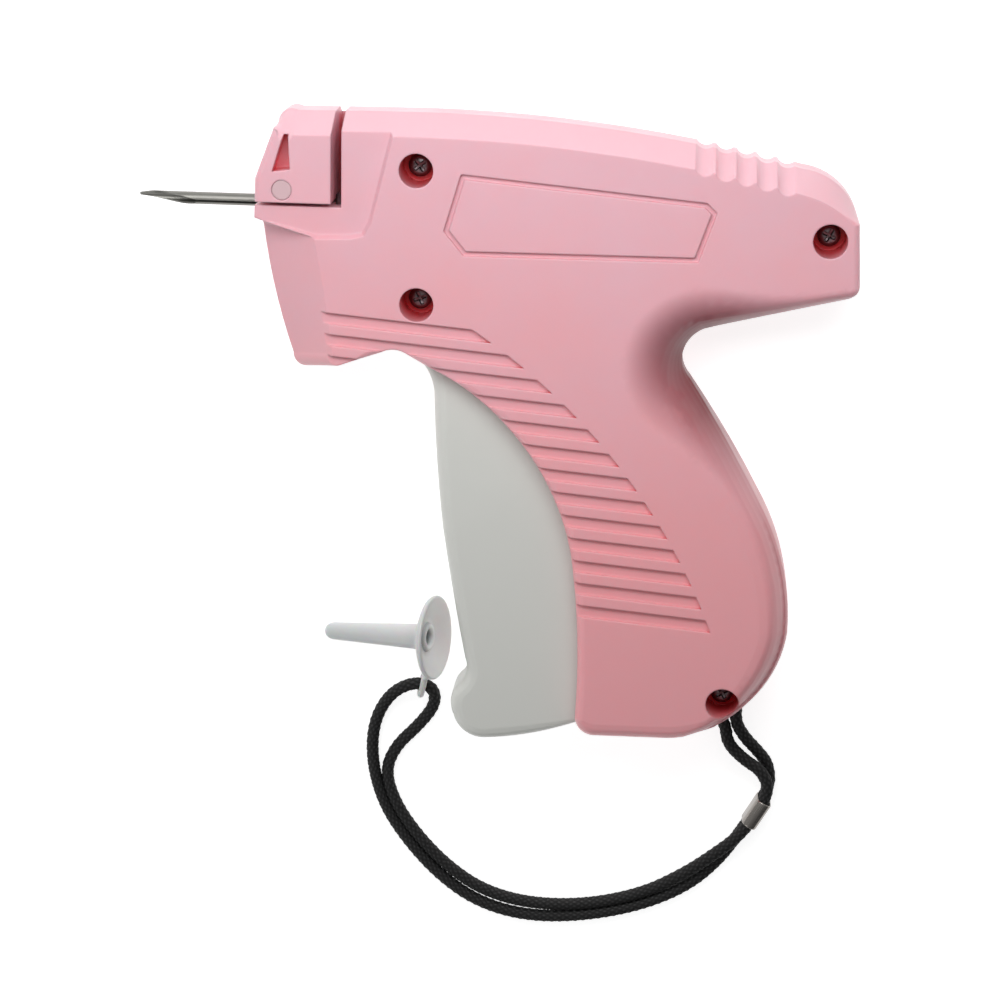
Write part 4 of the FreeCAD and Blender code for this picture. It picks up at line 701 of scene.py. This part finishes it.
def slit_needle():
    """The rings of a C-shaped tube along X, ground to a point at its nose end."""
    tip = NOSE_X - NEEDLE_REACH
    point = Vector((tip, NEEDLE_Y + 0.5 * NEEDLE_RADIUS, PART_Z - 0.8 * NEEDLE_RADIUS))
    stations = [SCOOP * (step / SCOOP_RINGS) ** 1.3 for step in range(1, SCOOP_RINGS + 1)] + [HUB_BACK - tip]
    rings = [[point] * (2 * ARC_POINTS)]
    for along in stations:
        ground = max(0.0, 1 - along / SCOOP)
        start = TUBE_EDGES[0] + (POINT_EDGES[0] - TUBE_EDGES[0]) * ground ** 0.6
        end = TUBE_EDGES[1] - (TUBE_EDGES[1] - POINT_EDGES[1]) * ground
        outside = NEEDLE_BORE + (NEEDLE_RADIUS - NEEDLE_BORE) * min(1.0, 0.25 + 3 * (1 - ground))
        ring = []
        for radius, first, last in ((outside, start, end), (NEEDLE_BORE, end, start)):
            for step in range(ARC_POINTS):
                angle = math.radians(first + (last - first) * step / (ARC_POINTS - 1))
                ring.append(Vector((tip + along, NEEDLE_Y + radius * math.cos(angle),
                                    PART_Z + radius * math.sin(angle))))
        rings.append(ring)
    inner_back = rings[-1][ARC_POINTS:]
    return rings + [inner_back[::-1] + inner_back]


tube_needle = skinned("slit_needle", slit_needle(), needle_steel)
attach(tube_needle, "casing")
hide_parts("needle")

# %% [markdown]
# The ferrule is a short steel tube squeezed oval round both strands of the cord, one above the
# other. Its ends are rolled in a little, so they don't cut the cord, and the tube was drawn
# before it was cut, which leaves fine lines along it.

# %% Crimped steel ferrule
FERRULE_LENGTH = 7.6 * MM
FERRULE_WALL = 0.5 * MM
STRANDS = (2.1 * MM, 5.31 * MM)
CORD_PLAY = 0.05 * MM
FERRULE_SIDES = 64
ROLLED_END = [(0.55, 1.0), (0.22, 0.96), (0.07, 0.82), (0.0, 0.55), (0.05, 0.28), (0.2, 0.08), (0.5, 0.0)]


def ferrule():
    """An oval tube with rolled ends round the two strands."""
    axis = (route[4] - route[3]).normalized()
    across = Vector((-axis.y, axis.x, 0))
    middle = (route[3] + route[4]) / 2
    middle.z = sum(STRANDS) / 2
    half_rise = (STRANDS[1] - STRANDS[0]) / 2
    bore = CORD / 2 + CORD_PLAY
    rim = [(-FERRULE_LENGTH / 2 + inset * MM, bore + share * FERRULE_WALL) for inset, share in ROLLED_END]
    profile = rim[::-1] + [(-reach, radius) for reach, radius in rim]
    rings = []
    for reach, radius in profile:
        ring = []
        for step in range(FERRULE_SIDES):
            angle = math.tau * (step + 0.5) / FERRULE_SIDES
            lift = radius * math.sin(angle) + math.copysign(half_rise, math.sin(angle))
            ring.append(middle + axis * reach + across * radius * math.cos(angle) + Vector((0, 0, lift)))
        rings.append(ring)
    return skinned("crimped_ferrule", rings, crimp_steel, closed=True)


along = (route[4] - route[3]).normalized()
crimp_steel = ground_steel("crimped_steel", "#8C8782", "#A8A39E", 0.25, math.atan2(along.y, along.x))
crimp = ferrule()

# %% [markdown]
# The needle cap is moulded in natural polyethylene, which has no dye: it lets light in and
# scatters it, so it looks milky, whiter where it is thick. The grey where it is sheltered or
# turned from the light is painted shade, laid in where the cap's own shape hides it, most in the dish.

# %% Natural polyethylene
DISH_REACH = 9 * MM
FLOW_SIZE = 5 * MM


def natural_polyethylene():
    """Milky translucent plastic with a waxy gloss and a faint flow pattern."""
    material, tree, shader, place = start_material("natural_polyethylene", **{
        "IOR": 1.51, "Transmission Weight": 0.35, "Subsurface Weight": 0.25, "Subsurface Scale": 1.5 * MM})
    flow = add(tree, "ShaderNodeTexNoise", {"Vector": place, "Scale": 1 / FLOW_SIZE, "Detail": 3.0})
    milk = mixed(tree, flow.outputs[0], colour("#F7F8F8"), colour("#EEF0F0"))
    # Painted shade: the colour turns grey where the cap's own shape shelters it, most in the dish.
    open_sky = add(tree, "ShaderNodeAmbientOcclusion", {"Distance": DISH_REACH}, samples=6, only_local=True)
    reach = add(tree, "ShaderNodeMapRange", {
        "Value": open_sky.outputs["AO"], "From Min": 0.3, "From Max": 0.8})
    tree.links.new(mixed(tree, reach.outputs[0], colour("#85878A"), milk), shader.inputs["Base Color"])
    gloss = add(tree, "ShaderNodeMapRange", {"Value": flow.outputs[0], "To Min": 0.3, "To Max": 0.42})
    tree.links.new(gloss.outputs[0], shader.inputs["Roughness"])
    grain = add(tree, "ShaderNodeTexNoise", {"Vector": place, "Scale": 1 / (0.5 * MM), "Detail": 2.0})
    bump = add(tree, "ShaderNodeBump", {"Height": grain.outputs[0], "Strength": 0.25, "Distance": 0.02 * MM})
    tree.links.new(bump.outputs[0], shader.inputs["Normal"])
    return material


polyethylene = natural_polyethylene()
print("material:", polyethylene.name)

# %% [markdown]
# The cap is turned from one profile, a tapering tube with a round tip in a dished disc, with a
# raised collar round the bore. The eyelet is a ring on a short stem, and a union makes one
# closed moulding of the three.

# %% The needle cap
CAP_DISC = 21.0 * MM
CAP_PLACE = at(0.295, 0.148, 0.4905 * CAP_DISC)
CAP_HEADING = math.radians(4.3)
CAP_TILT = math.radians(16.0)
EYELET_RADIUS = 2.7 * MM
EYELET_WIRE = 1.6 * MM
CAP_SIDES = 72
RING_STEPS = 48
WIRE_SIDES = 16
STEM_SIDES = 24

# Places along the cap's axis from the disc's plane, and radii there, in mm: the outside from
# the tip to the rim, the dish with its collar, and the bore
CAP_PROFILE = [
    (-29.0, 0.0), (-28.9, 0.75), (-28.5, 1.4), (-27.8, 1.92), (-26.9, 2.18), (-20.0, 2.48),
    (-12.0, 2.83), (-5.0, 3.14), (-3.9, 3.24), (-3.2, 3.6), (-2.75, 4.3), (-2.35, 5.4),
    (-1.5, 7.5), (-0.6, 9.35), (-0.15, 10.15), (0.15, 10.4), (0.5, 10.5), (0.85, 10.45),
    (1.05, 10.25), (1.08, 9.95), (0.8, 9.4), (0.1, 8.1), (-0.75, 6.3), (-1.3, 5.0),
    (-1.5, 4.2), (-1.4, 3.75), (-1.0, 3.5), (-0.65, 3.2), (-0.55, 2.75), (-0.7, 2.25),
    (-1.1, 1.85), (-1.8, 1.66), (-10.0, 1.6), (-20.0, 1.5), (-27.5, 1.32), (-27.9, 0.9), (-27.9, 0.0),
]


def cap_turned():
    """The cap's tube and disc, turned from the profile and laid where the solid lies."""
    pose = (Matrix.Translation(CAP_PLACE) @ Matrix.Rotation(CAP_HEADING, 4, "Z")
            @ Matrix.Rotation(-CAP_TILT, 4, "Y"))
    rings = []
    for along, radius in CAP_PROFILE:
        rings.append([pose @ (Vector((along, radius * math.cos(angle), radius * math.sin(angle))) * MM)
                      for angle in turns(CAP_SIDES)])
    return skinned("cap_turned", rings, polyethylene), pose


def cap_eyelet(pose):
    """The ring round the cord and the stem that joins it to the disc."""
    middle = (route[17] + route[18]) / 2
    axis = (route[18] - route[17]).normalized()
    back = pose @ (Vector((-0.3, -9.0, 0)) * MM)
    rise = back - middle
    up = (rise - axis * rise.dot(axis)).normalized()
    side = axis.cross(up)
    wire = EYELET_WIRE / 2
    rings = []
    for angle in turns(RING_STEPS):
        outward = up * math.cos(angle) + side * math.sin(angle)
        rings.append([
            middle + outward * (EYELET_RADIUS + wire * math.cos(turn)) + axis * wire * math.sin(turn)
            for turn in turns(WIRE_SIDES)])
    loop = skinned("cap_eyelet", rings, polyethylene, closed=True)
    foot = middle + up * EYELET_RADIUS
    way = (back - foot).normalized()
    across = way.cross(axis).normalized()
    flat = way.cross(across)
    shares = [(0.0, 0.0), (0.0, 0.9), (0.35, 0.85), (0.7, 1.0), (0.9, 1.35), (1.0, 1.5), (1.0, 0.0)]
    spokes = [across * math.cos(turn) + flat * math.sin(turn) for turn in turns(STEM_SIDES)]
    stem_rings = [[foot + (back - foot) * share + spoke * wire * width for spoke in spokes]
                  for share, width in shares]
    return loop, skinned("cap_stem", stem_rings, polyethylene)


def united(name, first, *others):
    """One closed mesh from several that overlap."""
    for other in others:
        weld = first.modifiers.new("weld", "BOOLEAN")
        weld.operation = "UNION"
        weld.solver = "EXACT"
        weld.object = other
    state = bpy.context.evaluated_depsgraph_get()
    mesh = bpy.data.meshes.new_from_object(first.evaluated_get(state), depsgraph=state)
    for old in (first, *others):
        bpy.data.objects.remove(old)
    mesh.name = name
    mesh.shade_smooth()
    mesh.set_sharp_from_angle(angle=CREASE)
    piece = shown(name, mesh)
    print(name + ":", len(mesh.polygons), "faces")
    return piece


turned, cap_pose = cap_turned()
cap = united("needle_cap_moulding", turned, *cap_eyelet(cap_pose))

# %% [markdown]
# Each piece rides the casing's body, and the imported node that it stands for is hidden.

# %% The lanyard, ferrule and cap ride the casing
for piece, node, finish in ((lanyard, "lanyard_cord", "cord"), (anchor, "lanyard_anchor", "cord"),
                            (crimp, "lanyard_ferrule", "ferrule_steel"), (cap, "needle_cap", "cap_plastic")):
    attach(piece, "casing")
    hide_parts(node)
print("lanyard, its end, ferrule and cap ride the casing")

# %% [markdown]
# The casing screws are zinc-plated pan heads with a Phillips cross, alike but each stopped at
# its own turn. One head is made and set on the four places, which is what instances are for.
# The cross is pressed into the head's fine grid of points by a rule on their places.

# %% Zinc-plated screws
zinc = ground_steel("zinc_plated_steel", "#6F696B", "#938D90", 0.3)
SCREW = {"Head Radius": 2.7 * MM, "Head Height": 2.2 * MM, "Shank Radius": 1.45 * MM,
         "Shank Length": 11.0 * MM, "Cross Reach": 1.55 * MM, "Cross Half Width": 0.36 * MM,
         "Cross Depth": 1.1 * MM, "Seed": 4}
CROSS_SOFTNESS = 0.06 * MM
SCREW_CREASE = math.radians(35)


def screw_tree():
    """Pan-head screws on the host's points, each turned its own way."""
    tree, size = start_nodes("screws", SCREW)
    blank = add(tree, "GeometryNodeMeshCylinder", {
        "Vertices": 48, "Side Segments": 3, "Fill Segments": 20, "Radius": size["Head Radius"],
        "Depth": size["Head Height"]}, fill_type="TRIANGLE_FAN").outputs["Mesh"]
    point = add(tree, "GeometryNodeInputPosition").outputs[0]
    x, y, z = add(tree, "ShaderNodeSeparateXYZ", {0: point}).outputs
    rise = maths(tree, "ADD", maths(tree, "DIVIDE", z, size["Head Height"]), 0.5)
    squares = maths(tree, "ADD", maths(tree, "MULTIPLY", x, x), maths(tree, "MULTIPLY", y, y))
    radius = maths(tree, "SQRT", squares)
    share = maths(tree, "POWER", maths(tree, "DIVIDE", radius, size["Head Radius"]), 4.0)
    dome = maths(tree, "SUBTRACT", 1.0, maths(tree, "MULTIPLY", share, 0.42))
    lifted = maths(tree, "MULTIPLY", maths(tree, "MULTIPLY", rise, dome), size["Head Height"])
    wide, tall = maths(tree, "ABSOLUTE", x), maths(tree, "ABSOLUTE", y)
    near, far = maths(tree, "MINIMUM", wide, tall), maths(tree, "MAXIMUM", wide, tall)
    cross = maths(tree, "GREATER_THAN", rise, 0.99)
    for value, limit in ((near, size["Cross Half Width"]), (far, size["Cross Reach"])):
        inside = add(tree, "ShaderNodeMapRange", {
            "Value": maths(tree, "SUBTRACT", value, limit), "From Min": -CROSS_SOFTNESS,
            "From Max": CROSS_SOFTNESS, "To Min": 1.0, "To Max": 0.0},
            interpolation_type="SMOOTHSTEP").outputs[0]
        cross = maths(tree, "MULTIPLY", cross, inside)
    outwards = maths(tree, "DIVIDE", far, size["Cross Reach"])
    taper = maths(tree, "SUBTRACT", 1.0, maths(tree, "MULTIPLY", outwards, 0.6))
    depth = maths(tree, "MULTIPLY", maths(tree, "MULTIPLY", cross, taper), size["Cross Depth"])
    place = add(tree, "ShaderNodeCombineXYZ", {0: x, 1: y, 2: maths(tree, "SUBTRACT", lifted, depth)})
    head = add(tree, "GeometryNodeSetPosition", {"Geometry": blank, "Position": place.outputs[0]})
    shank = add(tree, "GeometryNodeMeshCylinder", {
        "Vertices": 32, "Radius": size["Shank Radius"], "Depth": size["Shank Length"]}).outputs["Mesh"]
    drop = add(tree, "ShaderNodeCombineXYZ", {2: maths(tree, "MULTIPLY", size["Shank Length"], -0.499)})
    shank = add(tree, "GeometryNodeTransform", {"Geometry": shank, "Translation": drop.outputs[0]})
    screw = add(tree, "GeometryNodeJoinGeometry")
    for part in (shank, head):
        tree.links.new(part.outputs[0], screw.inputs[0])
    turn = add(tree, "FunctionNodeRandomValue", {"Seed": size["Seed"]}, data_type="FLOAT")
    turn.inputs[3].default_value = math.pi
    twist = add(tree, "ShaderNodeCombineXYZ", {2: turn.outputs[1]})
    smooth = add(tree, "GeometryNodeSetShadeSmooth", {"Geometry": screw.outputs[0]})
    placed = add(tree, "GeometryNodeInstanceOnPoints", {
        "Points": size["Geometry"], "Instance": smooth.outputs[0], "Rotation": twist.outputs[0]})
    finish_nodes(tree, placed.outputs[0], zinc)
    return tree


seats = bpy.data.meshes.new("screw_seats")
seats.from_pydata([tuple(place) for place in SCREW_PLACES], [], [])
screws = grown(shown("screw_seats", seats), screw_tree(), SCREW, "phillips_screws")
screws.data.set_sharp_from_angle(angle=SCREW_CREASE)
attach(screws, "casing")
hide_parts("casing_screws")

# %% [markdown]
# A product photograph like this one is taken on a white table that glows from below, so the
# ground stays white and shadows almost vanish. The main light is a soft box close above the
# tool's top edge: near it the casing is pale, and it grows deeper in colour towards the grip's
# heel, because light from a near source falls off fast. The room behind the camera is dim, and
# gives metal something dark to mirror.

# %% Table and lights
TABLE_HALF = 1.6
TABLE_DROP = 0.2 * MM


def white_table():
    """A plain pale table top under the tool, lit from below."""
    mesh = bpy.data.meshes.new("table_top")
    corners = [(-TABLE_HALF, -TABLE_HALF, 0), (TABLE_HALF, -TABLE_HALF, 0), (TABLE_HALF, TABLE_HALF, 0),
               (-TABLE_HALF, TABLE_HALF, 0)]
    mesh.from_pydata(corners, [], [(0, 1, 2, 3)])
    material = start_material("white_acrylic", **{
        "Base Color": colour("#C4C4C4"), "Roughness": 0.8, "Emission Strength": 0.8,
        "Emission Color": (1, 1, 1, 1)})[0]
    mesh.materials.append(material)
    table = shown("table_top", mesh)
    table.location.z = -TABLE_DROP


def soft_light(name, place, size, watts, aim):
    """A soft box turned towards the tool, with its width and depth."""
    data = bpy.data.lights.new(name, "AREA")
    data.shape = "RECTANGLE"
    data.size, data.size_y = size
    data.energy = watts
    light = shown(name, data)
    light.location = place
    light.rotation_euler = (Vector(aim) - Vector(place)).to_track_quat("-Z", "Y").to_euler()
    light.visible_camera = False


def dim_room():
    """A world that is bright on the soft box's side and dim behind the camera."""
    world = bpy.data.worlds.new("studio")
    world.use_nodes = True
    tree = world.node_tree
    tree.nodes.clear()
    way = add(tree, "ShaderNodeTexCoord").outputs["Generated"]
    toward = add(tree, "ShaderNodeVectorMath", {0: way, 1: (-0.45, 0.85, 0.25)}, operation="DOT_PRODUCT")
    strength = add(tree, "ShaderNodeMapRange", {
        "Value": toward.outputs["Value"], "From Min": -0.6, "From Max": 0.9, "To Min": 0.10, "To Max": 0.50})
    glow = add(tree, "ShaderNodeBackground", {"Color": (1, 1, 1, 1), "Strength": strength.outputs[0]})
    output = add(tree, "ShaderNodeOutputWorld")
    tree.links.new(glow.outputs[0], output.inputs[0])
    bpy.context.scene.world = world


white_table()
soft_light("soft_box", place=(-0.01, 0.17, 0.225), size=(0.34, 0.12), watts=0.60, aim=(0.0, 0.02, 0.01))
soft_light("side_box", place=(-0.20, -0.32, 0.17), size=(0.2, 0.2), watts=0.22, aim=(-0.03, -0.03, 0.01))
dim_room()
print("table, two soft boxes and a dim room")
